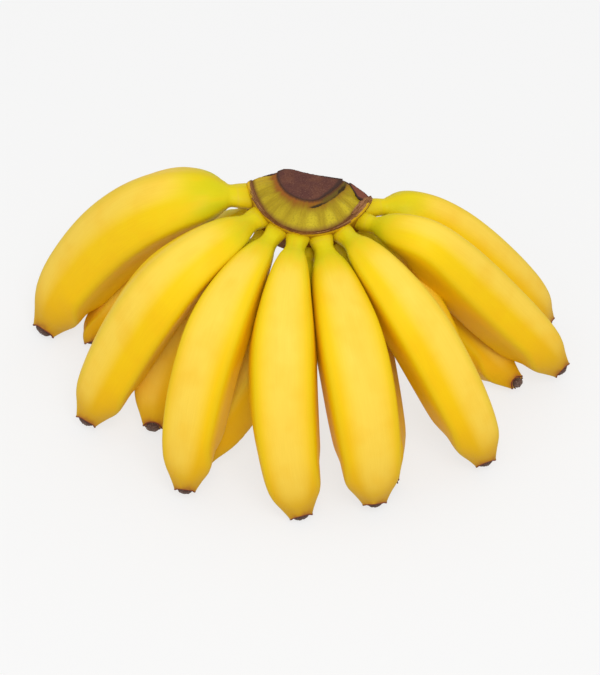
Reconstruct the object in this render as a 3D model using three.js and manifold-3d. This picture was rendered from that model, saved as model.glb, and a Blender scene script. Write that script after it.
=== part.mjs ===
// A hand of baby bananas that stands on the tips of its fruits, with its crown uppermost.
// Millimetres, +Z up. The origin is on the surface that the hand stands on, below its middle.
// The fruits fan out from the crown towards -Y, from the hand's left (-X) round to its right (+X).
import * as THREE from "three";
import { mergeVertices } from "three/addons/utils/BufferGeometryUtils.js";
import Module from "manifold-3d";

const wasm = await Module();
wasm.setup();

// ---- Driving dimensions ----

// Where the crown's axis stands, and the height and lean of the ring that the front row grows from.
const CROWN_X = 3.83;
const CROWN_Y = 45.95;
const RING_HEIGHT = 81;
const RING_LEAN = 7.2; // degrees, down to the hand's right

// Space left between two pieces that touch.
const CLEARANCE = 0.3;

// The block below the surface, which presses a small flat on each fruit that the hand stands on.
const SURFACE_SIZE = 400;
const SURFACE_DEPTH = 40;

// The two rows of fruits: the radius of the ring that their stalks start on, and its drop below RING_HEIGHT.
const FRONT_ROW = { radius: 26.3, drop: 0 };
const BACK_ROW = { radius: 24.3, drop: 9.3 };
const ROOT_DEPTH = 5; // how far a stalk is carried back into the crown before it is trimmed

// Each fruit's centre line is a cubic curve. Angles are in degrees: azimuth 0 is straight ahead (-Y) and
// grows towards +X.
//   root           the azimuth of its stalk's start, about the crown's axis
//   end            the azimuth of its blossom end, its distance from the crown's axis and its height
//   leave, arrive  how it leaves the crown and ends: the pitch, the turn away from straight out, and the
//                  length over which that direction holds
//   girth          half its width and half its depth where it is thickest, and how abruptly it swells past
//                  its neck, from 0 to 1
const FRONT_FRUITS = [
  { root: -77.82, end: [-87.72, 117.41, 2.6], leave: [15, 2, 39], arrive: [-47, 37, 62],
    girth: [19.31, 14.28, 1] },
  { root: -48.4, end: [-57.7, 112.3, 4.1], leave: [13, 8, 60], arrive: [-57, 2, 59],
    girth: [15.3, 12.4, 0.35] },
  { root: -27.3, end: [-27.3, 111.6, 4.4], leave: [3, 1, 54], arrive: [-70, 7, 63],
    girth: [13.2, 12.1, 0] },
  { root: -8.9, end: [-1.5, 110.5, 1.3], leave: [7, 0, 54], arrive: [-69, 38, 47],
    girth: [13.9, 13.3, 0] },
  { root: 10.4, end: [14.5, 109.1, 3.9], leave: [-16, 4, 58], arrive: [-74, 10, 68],
    girth: [14.2, 14.6, 0.35] },
  { root: 31.3, end: [41.7, 111.6, 4.1], leave: [16, -4, 46], arrive: [-65, 15, 47],
    girth: [13.2, 14.2, 0.2] },
  { root: 57.2, end: [74, 114.6, 6.2], leave: [12, -6, 52], arrive: [-48, 12, 111],
    girth: [11.9, 13.5, 0.65] },
  { root: 77.2, end: [90.2, 106.4, 2.3], leave: [-3, 29, 26], arrive: [-52, 8, 56],
    girth: [13.3, 12.8, 1] },
];
const BACK_FRUITS = [
  { root: -85.22, end: [-84.44, 95.24, 1.63], leave: [-56, -33, 93], arrive: [-102, -4, 13],
    girth: [11.02, 11.18, 0.26] },
  { root: -46.5, end: [-45.8, 92.2, 4], leave: [-33, 2, 40], arrive: [-36, 36, 45],
    girth: [12.7, 12.9, 0.26] },
  { root: -13.8, end: [-28.4, 96.7, 3.8], leave: [-10, -2, 41], arrive: [-41, 0, 43],
    girth: [11.9, 12.5, 0.26] },
  { root: 30.2, end: [19.7, 101.7, 4.4], leave: [-36, -7, 39], arrive: [-24, -6, 48],
    girth: [11.6, 12.5, 0.26] },
  { root: 46.6, end: [46.5, 89.9, 4.5], leave: [-12, 1, 41], arrive: [-52, -4, 45],
    girth: [12.1, 13, 0.26] },
  { root: 65.4, end: [67.1, 99.1, 4.9], leave: [-27, 2, 39], arrive: [-13, -16, 50],
    girth: [11.4, 10.5, 0.26] },
];

// A fruit's outline, from its stalk to its dry blossom end: how far along, and how thick, as shares of
// its length and of its greatest thickness. Near the neck, a third number is how thick a fruit with an
// abrupt shoulder is there.
const OUTLINE = [
  [0, 0.315], [0.045, 0.295, 0.315], [0.09, 0.33, 0.485], [0.125, 0.434, 0.65], [0.16, 0.529, 0.745],
  [0.2, 0.619, 0.815], [0.25, 0.705, 0.88], [0.32, 0.834, 0.935], [0.38, 0.923, 0.97], [0.45, 0.985],
  [0.53, 1], [0.6, 0.995], [0.67, 0.98], [0.735, 0.96], [0.8, 0.925], [0.865, 0.83], [0.905, 0.72],
  [0.935, 0.6], [0.96, 0.48], [0.98, 0.395], [1, 0.33],
];
const RIDGES = 5; // soft ridges along each fruit
const RIDGE_SHARE = 0.03; // their height, as a share of the thickness
const SIDES_PER_RIDGE = 4;
// The dry blossom end: a rim whose corners stand out where the ridges end, a dish inside it, and a button.
const RIM_WAVE = 0.6;
const DISH_SHARE = 0.6; // the dish's size, as a share of the rim's
const DISH_DEPTH = 0.4;
const BUTTON_HEIGHT = 0.8;

// The crown is half of a low cone. Its profile, as radius and height above RING_HEIGHT, runs from the flat
// cut on top, over the ribbed skin and the raised bract scar, to its underside. A third and a fourth number
// are how far the crown bulges out and hangs down there, at BULGE_AZIMUTH, where it does so most.
const CUT_RADIUS = 14.7;
const CROWN_TOP = 9.5;
const CROWN_PROFILE = [
  [0, CROWN_TOP, 0, 0], [CUT_RADIUS, CROWN_TOP, 0, 0], [15.5, 8.8, 0.4, 0], [18.5, 8.3, 2, 0.2],
  [21.8, 7.5, 4.1, 0.4], [24.6, 6.3, 6.2, 0.6], [25.5, 6.8, 5.6, 0.6], [26.6, 5.6, 4.6, 0.6],
  [26.6, 4.4, 4.4, 0.6], [26, 3.5, 4, 0.6], [26, -2, 2.4, 0.3], [25.6, -7, 0.8, 0.1], [24.3, -12, 0, 0],
  [20.5, -15.5, 0, 0], [12, -17.5, 0, 0], [0, -18, 0, 0],
];
const BULGE_AZIMUTH = -10;
const SKIN_RINGS = [3, 4, 5]; // the rows of the profile that the ribs raise, counted from 0
const RIB_HEIGHT = 0.6;
const RIBS_ROUND = 22;
const RIB_AZIMUTH = 1.5; // the azimuth of one of them
const CROWN_SIDES = 90;
// The crown's back, where it was cut from the bunch: its outline seen from above.
const BACK_CUT = [[-40, -7.5], [-13, 0.5], [-8, 3.4], [14, 0.2], [40, -9], [40, -40], [-40, -40]];
const BACK_CUT_REACH = 30; // how far it runs above and below RING_HEIGHT, past the crown both ways
// The second cut, which slants away from an edge near the right end: a point on that edge, the slope of the
// cut, and the azimuth that it slopes down towards, both in degrees.
const SIDE_CUT = { edge: [19, -5.2, 7.9], slope: 28, towards: 117 };
const SIDE_CUT_ROOM = { across: 24, along: 40, height: 12 };

const PEEL = { color: 0xf7cf2b, roughness: 0.45, metalness: 0 };
const CROWN_SKIN = { color: 0x9c8f2c, roughness: 0.6, metalness: 0 };

// ---- Solids ----

const radians = THREE.MathUtils.degToRad;

// Turns a closed geometry into a solid that can be joined and cut.
function solidFrom(geometry) {
  const bare = new THREE.BufferGeometry();
  bare.setAttribute("position", geometry.getAttribute("position"));
  bare.setIndex(geometry.getIndex());
  const merged = mergeVertices(bare, 1e-4);
  return new wasm.Manifold(
    new wasm.Mesh({
      numProp: 3,
      vertProperties: merged.getAttribute("position").array,
      triVerts: new Uint32Array(merged.getIndex().array),
    }),
  );
}

// Turns a solid back into a geometry, flat shaded.
function geometryFrom(solid) {
  const mesh = solid.getMesh();
  const geometry = new THREE.BufferGeometry();
  geometry.setAttribute("position", new THREE.BufferAttribute(new Float32Array(mesh.vertProperties), 3));
  geometry.setIndex(new THREE.BufferAttribute(new Uint32Array(mesh.triVerts), 1));
  const flat = geometry.toNonIndexed();
  flat.computeVertexNormals();
  return flat;
}

// The largest of the separate bodies in a solid, so that a trimmed piece keeps no loose scrap.
function largestBody(solid) {
  const bodies = solid.decompose();
  return bodies.reduce((best, body) => (body.volume() > best.volume() ? body : best));
}

// ---- Fruits ----

// A unit vector with the given azimuth and pitch.
function pointing(azimuth, pitch) {
  const a = radians(azimuth);
  const p = radians(pitch);
  return new THREE.Vector3(Math.sin(a) * Math.cos(p), -Math.cos(a) * Math.cos(p), Math.sin(p));
}

// Where a stalk starts, on its row's leaning ring.
function ringPoint(azimuth, row) {
  const point = pointing(azimuth, 0).multiplyScalar(row.radius);
  point.z = RING_HEIGHT - row.drop - point.x * Math.tan(radians(RING_LEAN));
  return point;
}

function centreLine(fruit, row) {
  const [leavePitch, leaveTurn, leaveLength] = fruit.leave;
  const [arrivePitch, arriveTurn, arriveLength] = fruit.arrive;
  const start = ringPoint(fruit.root, row);
  const [endAzimuth, reach, rise] = fruit.end;
  const end = pointing(endAzimuth, 0).multiplyScalar(reach).setZ(rise);
  const leaving = pointing(fruit.root + leaveTurn, leavePitch).multiplyScalar(leaveLength);
  const arriving = pointing(endAzimuth + arriveTurn, arrivePitch).multiplyScalar(arriveLength);
  return new THREE.CubicBezierCurve3(start, start.clone().add(leaving), end.clone().sub(arriving), end);
}

// A fruit's body: ridged ovals along its centre line, closed at both ends. grow makes it thicker all over.
function fruitSolid(fruit, row, grow) {
  const line = centreLine(fruit, row);
  const chord = line.v3.clone().sub(line.v0);
  const across = new THREE.Vector3(-chord.y, chord.x, 0).normalize();
  const sides = RIDGES * SIDES_PER_RIDGE;
  const [halfWidth, halfDepth, shoulder] = fruit.girth;
  const points = [];

  const addRing = (centre, tangent, share, wave = 0) => {
    const side = across.clone().addScaledVector(tangent, -across.dot(tangent)).normalize();
    const up = new THREE.Vector3().crossVectors(tangent, side);
    for (let k = 0; k < sides; k++) {
      const angle = Math.PI / 2 + (2 * Math.PI * k) / sides;
      const crest = Math.cos(RIDGES * (angle - Math.PI / 2));
      const ridge = 1 + RIDGE_SHARE * crest;
      const wide = (halfWidth * share * ridge + grow) * Math.cos(angle);
      const deep = (halfDepth * share * ridge + grow) * Math.sin(angle);
      const point = centre.clone().addScaledVector(side, wide).addScaledVector(up, deep);
      points.push(point.addScaledVector(tangent, wave * crest));
    }
  };

  const rootTangent = line.getTangentAt(0);
  const rootCentre = line.v0.clone().addScaledVector(rootTangent, -ROOT_DEPTH);
  addRing(rootCentre, rootTangent, OUTLINE[0][1]);
  for (const [along, slim, abrupt = slim] of OUTLINE.slice(0, -1)) {
    const share = THREE.MathUtils.lerp(slim, abrupt, shoulder);
    addRing(line.getPointAt(along), line.getTangentAt(along), share);
  }
  const tipTangent = line.getTangentAt(1);
  const beyondTip = (distance) => line.v3.clone().addScaledVector(tipTangent, distance);
  const rimShare = OUTLINE.at(-1)[1];
  addRing(beyondTip(grow), tipTangent, rimShare, RIM_WAVE);
  addRing(beyondTip(grow - DISH_DEPTH), tipTangent, rimShare * DISH_SHARE);
  const rings = points.length / sides;
  const rootEnd = points.push(rootCentre) - 1;
  const tipEnd = points.push(beyondTip(grow + BUTTON_HEIGHT)) - 1;

  const faces = [];
  for (let k = 0; k < sides; k++) {
    const next = (k + 1) % sides;
    for (let ring = 0; ring < rings - 1; ring++) {
      const a = ring * sides;
      const b = a + sides;
      faces.push(a + k, a + next, b + next, a + k, b + next, b + k);
    }
    const last = (rings - 1) * sides;
    faces.push(rootEnd, next, k, tipEnd, last + k, last + next);
  }
  const geometry = new THREE.BufferGeometry().setFromPoints(points);
  geometry.setIndex(faces);
  return solidFrom(geometry);
}

// ---- Crown ----

// The crown's profile, moved outwards by grow, from its underside to its top.
function crownProfile(grow) {
  const last = CROWN_PROFILE.length - 1;
  const moved = CROWN_PROFILE.map(([radius, height], i) => {
    const [radiusBefore, heightBefore] = CROWN_PROFILE[Math.max(i - 1, 0)];
    const [radiusAfter, heightAfter] = CROWN_PROFILE[Math.min(i + 1, last)];
    const along = new THREE.Vector2(radiusAfter - radiusBefore, heightAfter - heightBefore).normalize();
    const movedRadius = radius === 0 ? 0 : radius - grow * along.y;
    return new THREE.Vector2(movedRadius, height + grow * along.x);
  });
  return moved.reverse();
}

// The crown's body. grow makes it larger all over, for trimming the stalks that meet it.
function crownSolid(grow) {
  const cone = new THREE.LatheGeometry(crownProfile(grow), CROWN_SIDES);
  cone.rotateX(Math.PI / 2);

  const position = cone.getAttribute("position");
  const rows = CROWN_PROFILE.length;
  for (let i = 0; i < position.count; i++) {
    const row = rows - 1 - (i % rows);
    const [, , reach, drop] = CROWN_PROFILE[row];
    const x = position.getX(i);
    const y = position.getY(i);
    const azimuth = Math.atan2(x, -y);
    const bulge = Math.max(Math.cos(azimuth - radians(BULGE_AZIMUTH)), 0) ** 4;
    const radius = Math.hypot(x, y) || 1;
    const stretch = (radius + reach * bulge) / radius;
    const rib = SKIN_RINGS.includes(row) ? Math.cos(RIBS_ROUND * (azimuth - radians(RIB_AZIMUTH))) : 0;
    const height = position.getZ(i) - drop * bulge + (RIB_HEIGHT / 2) * rib;
    position.setXYZ(i, x * stretch, y * stretch, height);
  }

  const plan = new THREE.Shape(BACK_CUT.map(([x, y]) => new THREE.Vector2(x, y + grow)));
  const slab = new THREE.ExtrudeGeometry(plan, { depth: 2 * BACK_CUT_REACH, bevelEnabled: false });
  slab.translate(0, 0, -BACK_CUT_REACH);

  const { across, along, height } = SIDE_CUT_ROOM;
  const corner = new THREE.BoxGeometry(across, along, height);
  corner.translate(across / 2, 0, height / 2);
  corner.rotateY(radians(SIDE_CUT.slope));
  corner.rotateZ(radians(SIDE_CUT.towards - 90));
  corner.translate(...SIDE_CUT.edge);

  const lean = new THREE.Matrix4().makeRotationY(radians(RING_LEAN));
  const place = new THREE.Matrix4().makeTranslation(0, 0, RING_HEIGHT).multiply(lean);
  return solidFrom(cone).intersect(solidFrom(slab)).subtract(solidFrom(corner)).transform(place.elements);
}

// ---- The hand ----

const fruits = [
  ...FRONT_FRUITS.map((fruit, i) => ({ name: `front_banana_${i + 1}`, fruit, row: FRONT_ROW })),
  ...BACK_FRUITS.map((fruit, i) => ({ name: `back_banana_${i + 1}`, fruit, row: BACK_ROW })),
];

const surface = new THREE.BoxGeometry(SURFACE_SIZE, SURFACE_SIZE, SURFACE_DEPTH);
surface.translate(0, 0, -SURFACE_DEPTH / 2);
const belowSurface = solidFrom(surface);
const crownRoom = crownSolid(CLEARANCE);

const hand = new THREE.Group();
hand.name = "hand_of_bananas";
hand.position.set(CROWN_X, CROWN_Y, 0);

function addPiece(name, solid, finish) {
  const mesh = new THREE.Mesh(geometryFrom(solid), new THREE.MeshStandardMaterial(finish));
  mesh.name = name;
  hand.add(mesh);
}

addPiece("crown", crownSolid(0), CROWN_SKIN);
fruits.forEach(({ name, fruit, row }, i) => {
  let solid = fruitSolid(fruit, row, 0).subtract(crownRoom).subtract(belowSurface);
  for (const other of fruits.slice(0, i)) {
    solid = solid.subtract(fruitSolid(other.fruit, other.row, CLEARANCE));
  }
  addPiece(name, largestBody(solid), PEEL);
});

export default hand;
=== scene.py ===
# %% [markdown]
# # A hand of baby bananas
#
# A hand is one cluster cut from a bunch of bananas. Fourteen short, plump fruits in two rows hang from one
# crown, the woody cushion that once held them to the stem. Here the hand stands on its tips with the crown
# on top. The measured solids come in first and stay where they are. Everything below dresses them.

# %% The tools and the frame
import math

import bmesh
import bpy
import numpy as np
from mathutils import Matrix, Vector, noise


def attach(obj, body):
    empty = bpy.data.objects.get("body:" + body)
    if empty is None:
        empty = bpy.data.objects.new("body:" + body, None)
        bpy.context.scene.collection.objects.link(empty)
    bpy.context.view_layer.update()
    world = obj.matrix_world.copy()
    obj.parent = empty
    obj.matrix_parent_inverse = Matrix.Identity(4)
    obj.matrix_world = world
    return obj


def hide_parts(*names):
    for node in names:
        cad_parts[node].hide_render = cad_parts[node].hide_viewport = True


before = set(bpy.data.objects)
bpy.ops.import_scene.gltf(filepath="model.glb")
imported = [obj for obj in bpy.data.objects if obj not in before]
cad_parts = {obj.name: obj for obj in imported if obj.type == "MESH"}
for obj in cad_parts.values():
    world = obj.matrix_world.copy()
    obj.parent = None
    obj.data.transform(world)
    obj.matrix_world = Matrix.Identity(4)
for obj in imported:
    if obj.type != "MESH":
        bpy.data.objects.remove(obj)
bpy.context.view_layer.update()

MM = 0.001

# %% [markdown]
# ## The camera
#
# The view is from the front, looking down at about 45 degrees. A long lens a metre away keeps the fruits
# from looking stretched, as the nearest ones would through a wide lens close by.

# %% The camera, a metre away with a long lens
CAMERA_PITCH = math.radians(45.4)
CAMERA_DISTANCE = 1.0
CAMERA_LENS = 126.9
CAMERA_TARGET = Vector((0.34, 3.53, 37.61)) * MM

towards_camera = Vector((0, -math.cos(CAMERA_PITCH), math.sin(CAMERA_PITCH)))
camera = bpy.data.objects.new("camera", bpy.data.cameras.new("camera"))
camera.data.lens = CAMERA_LENS
camera.data.clip_start = 0.01
camera.location = CAMERA_TARGET + towards_camera * CAMERA_DISTANCE
camera.rotation_euler = (-towards_camera).to_track_quat("-Z", "Y").to_euler()
bpy.context.scene.collection.objects.link(camera)
bpy.context.scene.camera = camera
print(f"the camera stands at {[round(c, 3) for c in camera.location]}")

# %% [markdown]
# ## Nodes
#
# Both the shapes and the finishes below are made of nodes. One small function adds a node to a tree, fills
# its sockets and draws its links, so each tree reads as a list of steps.

# %% One function that adds a node
def add(tree, kind, sockets=None, stops=None, **settings):
    """Adds a node. Sockets holds a value or a link for each input; stops are a ramp's or a curve's points."""
    node = tree.nodes.new(kind)
    for name, value in settings.items():
        setattr(node, name, value)
    for socket, value in (sockets or {}).items():
        if isinstance(value, bpy.types.Node):
            value = value.outputs[0]
        if isinstance(value, bpy.types.NodeSocket):
            tree.links.new(value, node.inputs[socket])
        else:
            node.inputs[socket].default_value = value
    if stops and hasattr(node, "color_ramp"):
        ramp = node.color_ramp.elements
        while len(ramp) < len(stops):
            ramp.new(0.5)
        for element, (place, colour) in zip(ramp, stops):
            element.position = place
            element.color = linear(colour)
    elif stops:
        curve = node.mapping.curves[0]
        while len(curve.points) < len(stops):
            curve.points.new(0.5, 0.5)
        for point, place in zip(curve.points, stops):
            point.location = place
            point.handle_type = "AUTO_CLAMPED"
        node.mapping.update()
    return node


def linear(colour):
    """An sRGB colour written as hex, turned to the linear values that a socket takes."""
    channels = [int(colour[i : i + 2], 16) / 255 for i in (1, 3, 5)]
    return [c / 12.92 if c <= 0.04045 else ((c + 0.055) / 1.055) ** 2.4 for c in channels] + [1.0]


print("yellow peel in linear values:", [round(c, 3) for c in linear("#f7cf00")])

# %% [markdown]
# ## Where each fruit lies
#
# A banana grows along a curved centre line. Four points of a Bezier curve hold it: where its stalk leaves
# the crown, where its dry tip ends, and a handle at each that says which way it heads there. These are the
# numbers that the solids were drawn from, so each dressed fruit lies on its solid. A few are eased by up to
# a millimetre, and the third back fruit's stalk sits nearer the middle, where it fills the gap between the
# two middle stalks.

# %% The crown's place, the two rows and the fruits' numbers
CROWN_PLACE = Vector((3.83, 45.95, 81)) * MM
CROWN_LEAN = math.radians(7.2)
FRONT_ROW = {"radius": 26.3, "drop": 0}
BACK_ROW = {"radius": 24.3, "drop": 9.3}

# root: azimuth of the stalk's start. end: azimuth, reach and rise of the tip. leave, arrive: pitch, turn and
# handle length. girth: half width, half depth, and how abruptly it swells past its neck. facet: where its
# widest flat side faces, by how much that side is wider than the rest, and where it faces at the tip.
FRONT_FRUITS = [
    dict(root=-77.82, end=(-87.72, 117.41, 2.6), leave=(15, 2, 39), arrive=(-47, 37, 62),
         girth=(19.4, 15.2, 1), facet=(50, 0.3, 22)),
    dict(root=-48.4, end=(-57.7, 112.3, 4.1), leave=(13, 8, 60), arrive=(-57, 2, 59),
         girth=(15.7, 12.6, 0.35), facet=(55, 0.25, 43)),
    dict(root=-27.3, end=(-27.3, 111.6, 4.4), leave=(3, 1, 54), arrive=(-70, 7, 63),
         girth=(13.2, 12.1, 0), facet=(83, 0.28, 65)),
    dict(root=-8.9, end=(-1.5, 110.5, 1.3), leave=(7, 0, 54), arrive=(-69, 38, 47),
         girth=(14.2, 13.3, 0), facet=(90, 0.24, 83)),
    dict(root=10.4, end=(14.5, 109.1, 3.9), leave=(-16, 4, 58), arrive=(-74, 10, 68),
         girth=(14.6, 14.6, 0.35), facet=(94, 0.3, 103)),
    dict(root=31.3, end=(41.7, 111.6, 4.1), leave=(16, -4, 46), arrive=(-65, 15, 47),
         girth=(13.2, 14.2, 0.2), facet=(115, 0.18, 125)),
    dict(root=57.2, end=(74, 114.6, 6.2), leave=(12, -6, 52), arrive=(-48, 12, 111),
         girth=(11.9, 13.5, 0.65), facet=(125, 0.2, 143)),
    dict(root=77.2, end=(90.2, 106.4, 2.3), leave=(-3, 29, 26), arrive=(-52, 8, 56),
         girth=(13.3, 12.8, 1), facet=(130, 0.25, 155)),
]
BACK_FRUITS = [
    dict(root=-85.22, end=(-84.44, 95.24, 1.63), leave=(-56, -33, 93), arrive=(-102, -4, 13),
         girth=(11.02, 11.18, 0.26), facet=(40, 0.1, 0)),
    dict(root=-46.5, end=(-45.8, 92.2, 4), leave=(-33, 2, 40), arrive=(-36, 36, 45),
         girth=(12.7, 12.9, 0.7), facet=(75, 0.2, 57)),
    dict(root=-1.5, end=(-28.4, 96.7, 3.8), leave=(-14, -2, 41), arrive=(-41, 0, 43),
         girth=(11.9, 12.5, 1), facet=(20, 0.15, 66)),
    dict(root=30.2, end=(19.7, 101.7, 4.4), leave=(-36, -7, 39), arrive=(-24, -6, 48),
         girth=(11.6, 12.5, 0.26), facet=(110, 0.2, 103)),
    dict(root=46.6, end=(46.5, 89.9, 4.5), leave=(-12, 1, 41), arrive=(-52, -4, 45),
         girth=(12.1, 13, 0.26), facet=(85, 0.1, 125)),
    dict(root=65.4, end=(67.1, 99.1, 4.9), leave=(-27, 2, 39), arrive=(-13, -16, 50),
         girth=(11.4, 10.5, 0.26), facet=(100, 0.2, 131)),
]
print(f"{len(FRONT_FRUITS)} fruits in front and {len(BACK_FRUITS)} behind")

# %% [markdown]
# Azimuths and pitches are how one would describe a hand of bananas from its crown, so the numbers are kept
# as angles, and two functions turn them into points. The crown leans a little, so stalks on the left start
# higher than those on the right.

# %% From angles to four Bezier points
def pointing(azimuth, pitch=0):
    """A unit vector. Azimuth 0 is straight ahead, towards -Y, and grows towards +X."""
    a, p = math.radians(azimuth), math.radians(pitch)
    return Vector((math.sin(a) * math.cos(p), -math.cos(a) * math.cos(p), math.sin(p)))


def centre_line(fruit, row):
    """A fruit's four Bezier points: start, its handle, the end's handle and the end."""
    crown_axis = Vector((CROWN_PLACE.x, CROWN_PLACE.y, 0))
    start = pointing(fruit["root"]) * row["radius"] * MM
    start.z = CROWN_PLACE.z - row["drop"] * MM - start.x * math.tan(CROWN_LEAN)
    azimuth, reach, rise = fruit["end"]
    end = pointing(azimuth) * reach * MM + Vector((0, 0, rise * MM))
    leave_pitch, leave_turn, leave_length = fruit["leave"]
    arrive_pitch, arrive_turn, arrive_length = fruit["arrive"]
    start_handle = start + pointing(fruit["root"] + leave_turn, leave_pitch) * leave_length * MM
    end_handle = end - pointing(azimuth + arrive_turn, arrive_pitch) * arrive_length * MM
    return [crown_axis + point for point in (start, start_handle, end_handle, end)]


fruits = [(f"front_banana_{i}", fruit, FRONT_ROW) for i, fruit in enumerate(FRONT_FRUITS, 1)]
fruits += [(f"back_banana_{i}", fruit, BACK_ROW) for i, fruit in enumerate(BACK_FRUITS, 1)]
print(f"{len(fruits)} fruits; the widest is {2 * max(f['girth'][0] for _, f, _ in fruits)} mm")

# %% [markdown]
# ## Running a tree of Geometry Nodes
#
# A tree is a recipe with named inputs. The next two functions make an empty tree with its inputs, and run a
# tree once for a piece. The result is taken as a plain mesh and the modifier is removed, so what is left is
# an ordinary object whose vertices are already in place.

# %% Two functions that start a tree and run it
INPUT_KINDS = {
    "vector": "NodeSocketVector", "float": "NodeSocketFloat", "int": "NodeSocketInt",
    "material": "NodeSocketMaterial", "geometry": "NodeSocketGeometry",
}


def new_tree(name, inputs):
    """An empty Geometry Nodes tree with these named inputs, one geometry output, and its input node."""
    tree = bpy.data.node_groups.new(name, "GeometryNodeTree")
    for label, kind in inputs.items():
        tree.interface.new_socket(label, in_out="INPUT", socket_type=INPUT_KINDS[kind])
    tree.interface.new_socket("Geometry", in_out="OUTPUT", socket_type="NodeSocketGeometry")
    return tree, add(tree, "NodeGroupInput")


def grow(name, tree, sizes, path=None):
    """Runs a tree with these sizes, on a path if it needs one, and returns a plain mesh object."""
    piece = bpy.data.objects.new(name, path or bpy.data.meshes.new(name))
    bpy.context.scene.collection.objects.link(piece)
    modifier = piece.modifiers.new(tree.name, "NODES")
    modifier.node_group = tree
    for socket in tree.interface.items_tree:
        if socket.in_out == "INPUT" and socket.name in sizes:
            modifier[socket.identifier] = sizes[socket.name]
    result = piece.evaluated_get(bpy.context.evaluated_depsgraph_get())
    mesh = bpy.data.meshes.new_from_object(result)
    piece.modifiers.remove(modifier)
    piece.data = mesh
    return piece


print("a tree's inputs can be:", ", ".join(INPUT_KINDS))

# %% [markdown]
# ## Soft ridges
#
# A ripe banana is not round. Five flat sides meet in soft ridges, and one side is often wider than the
# others. The ridge pattern is a formula of the angle round the fruit: 1 - |cos| is flat in the middle of a
# side and comes to a corner at each ridge, and a little is added under the root to round that corner. Both
# the fruit and its dry tip use it, so it is a small node group of its own.

# %% The ridge pattern, as a node group
SIDES_ROUND = 5
CORNER_ROUNDING = 0.06
CREST_MEAN = 0.345  # the pattern's average, taken off so that ridges don't make the fruit thicker


def ridge_group():
    """Angle round the fruit in; how near a ridge is out, from about 0 in mid side to 0.93 on a ridge."""
    tree = bpy.data.node_groups.new("ridge pattern", "GeometryNodeTree")
    for label in ("Angle", "Facing", "Unevenness"):
        tree.interface.new_socket(label, in_out="INPUT", socket_type="NodeSocketFloat")
    tree.interface.new_socket("Crest", in_out="OUTPUT", socket_type="NodeSocketFloat")
    enter = add(tree, "NodeGroupInput")
    facing = enter.outputs["Facing"]
    off = add(tree, "ShaderNodeMath", {0: enter.outputs["Angle"], 1: facing}, operation="SUBTRACT")
    sway = add(tree, "ShaderNodeMath", {0: off}, operation="SINE")
    sway = add(tree, "ShaderNodeMath", {0: sway, 1: enter.outputs["Unevenness"]}, operation="MULTIPLY")
    warped = add(tree, "ShaderNodeMath", {0: off, 1: sway}, operation="SUBTRACT")
    turns = add(tree, "ShaderNodeMath", {0: warped, 1: SIDES_ROUND / 2}, operation="MULTIPLY")
    cosine = add(tree, "ShaderNodeMath", {0: turns}, operation="COSINE")
    squared = add(tree, "ShaderNodeMath", {
        0: cosine, 1: cosine, 2: CORNER_ROUNDING**2}, operation="MULTIPLY_ADD")
    rooted = add(tree, "ShaderNodeMath", {0: squared}, operation="SQRT")
    crest = add(tree, "ShaderNodeMath", {0: 1, 1: rooted}, operation="SUBTRACT")
    add(tree, "NodeGroupOutput", {"Crest": crest})
    return tree


ridge_pattern = ridge_group()
print(f"the ridge pattern has {len(ridge_pattern.nodes)} nodes")

# %% [markdown]
# ## The banana tree
#
# One recipe grows every fruit. A closed cylinder is bent along the centre line: each vertex keeps its angle,
# and its height says how far along the fruit it goes. Curves then set how thick the fruit is there and
# how strong its ridges are. This beats sculpting fourteen fruits, because they share one rule and still
# differ in every number. Four attributes are stored for the peel's finish: how far along a point is, how
# near a ridge it is, how much it belongs to the fruit's outer side, and its place in the straightened fruit.

# %% The fruit's outline and the strength of its ridges
# Share of the length, share of the greatest thickness there, and that share with an abrupt shoulder.
OUTLINE = [
    (0, 0.32, 0.285), (0.02, 0.31, 0.275), (0.045, 0.3, 0.275), (0.07, 0.295, 0.36), (0.095, 0.33, 0.51),
    (0.125, 0.434, 0.65), (0.16, 0.529, 0.745), (0.2, 0.619, 0.815), (0.25, 0.711, 0.88),
    (0.32, 0.834, 0.935), (0.38, 0.923, 0.97), (0.45, 0.985, 0.988), (0.53, 1, 1), (0.6, 0.997, 0.997),
    (0.67, 0.985, 0.985), (0.735, 0.96, 0.96), (0.8, 0.915, 0.915), (0.865, 0.82, 0.82),
    (0.905, 0.715, 0.715), (0.935, 0.6, 0.6), (0.96, 0.48, 0.48), (0.98, 0.385, 0.385), (1, 0.31, 0.31),
]
RIDGE_STRENGTH = [
    (0, 0.1), (0.07, 0.3), (0.16, 0.7), (0.3, 0.95), (0.6, 1), (0.85, 1), (0.95, 1), (1, 0.8),
]
RIDGE_SHARE = 0.19  # of the thickness
TIP_SPREAD = 0.4  # the widest side grows this much wider still at the tip
TIP_BACK = 2.2 * MM  # the peel stops this far short of the line's end, to leave room for the dry button
RIM_WAVE = 2.1 * MM  # how far the tip's corners stand out past its sides
ROOT_FLARE = 0.05  # added to the stalk's width at its root, so that it meets its neighbours
ROOT_REACH = 0.035  # how far the stalk runs back into the crown, as a share of the length
LUMP_SIZE, LUMP_SHARE = 22 * MM, 0.02
AROUND, ALONG = 80, 140
END_CROWDING = 0.5  # rings lie closer together at both ends, where the shape changes fastest
LINE_STEPS = 96
print(f"{len(OUTLINE)} points of the outline, {AROUND * ALONG} faces a fruit")

# %% [markdown]
# ## Steps that the fruit and its dry tip share
#
# Both start as a closed cylinder of radius 1, standing upright round the origin. Each point's angle, its
# distance from the axis and its level from 0 to 1 say where it belongs. At the end each point is pushed
# along three directions, and none goes below the table that the hand stands on.

# %% A cylinder to start from, its ridges, a push and an end
SHARP_EDGE = math.radians(50)
ABOVE_TABLE = (-1, -1, 0)  # the least that a point's place may be, so only its height is held back


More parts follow.
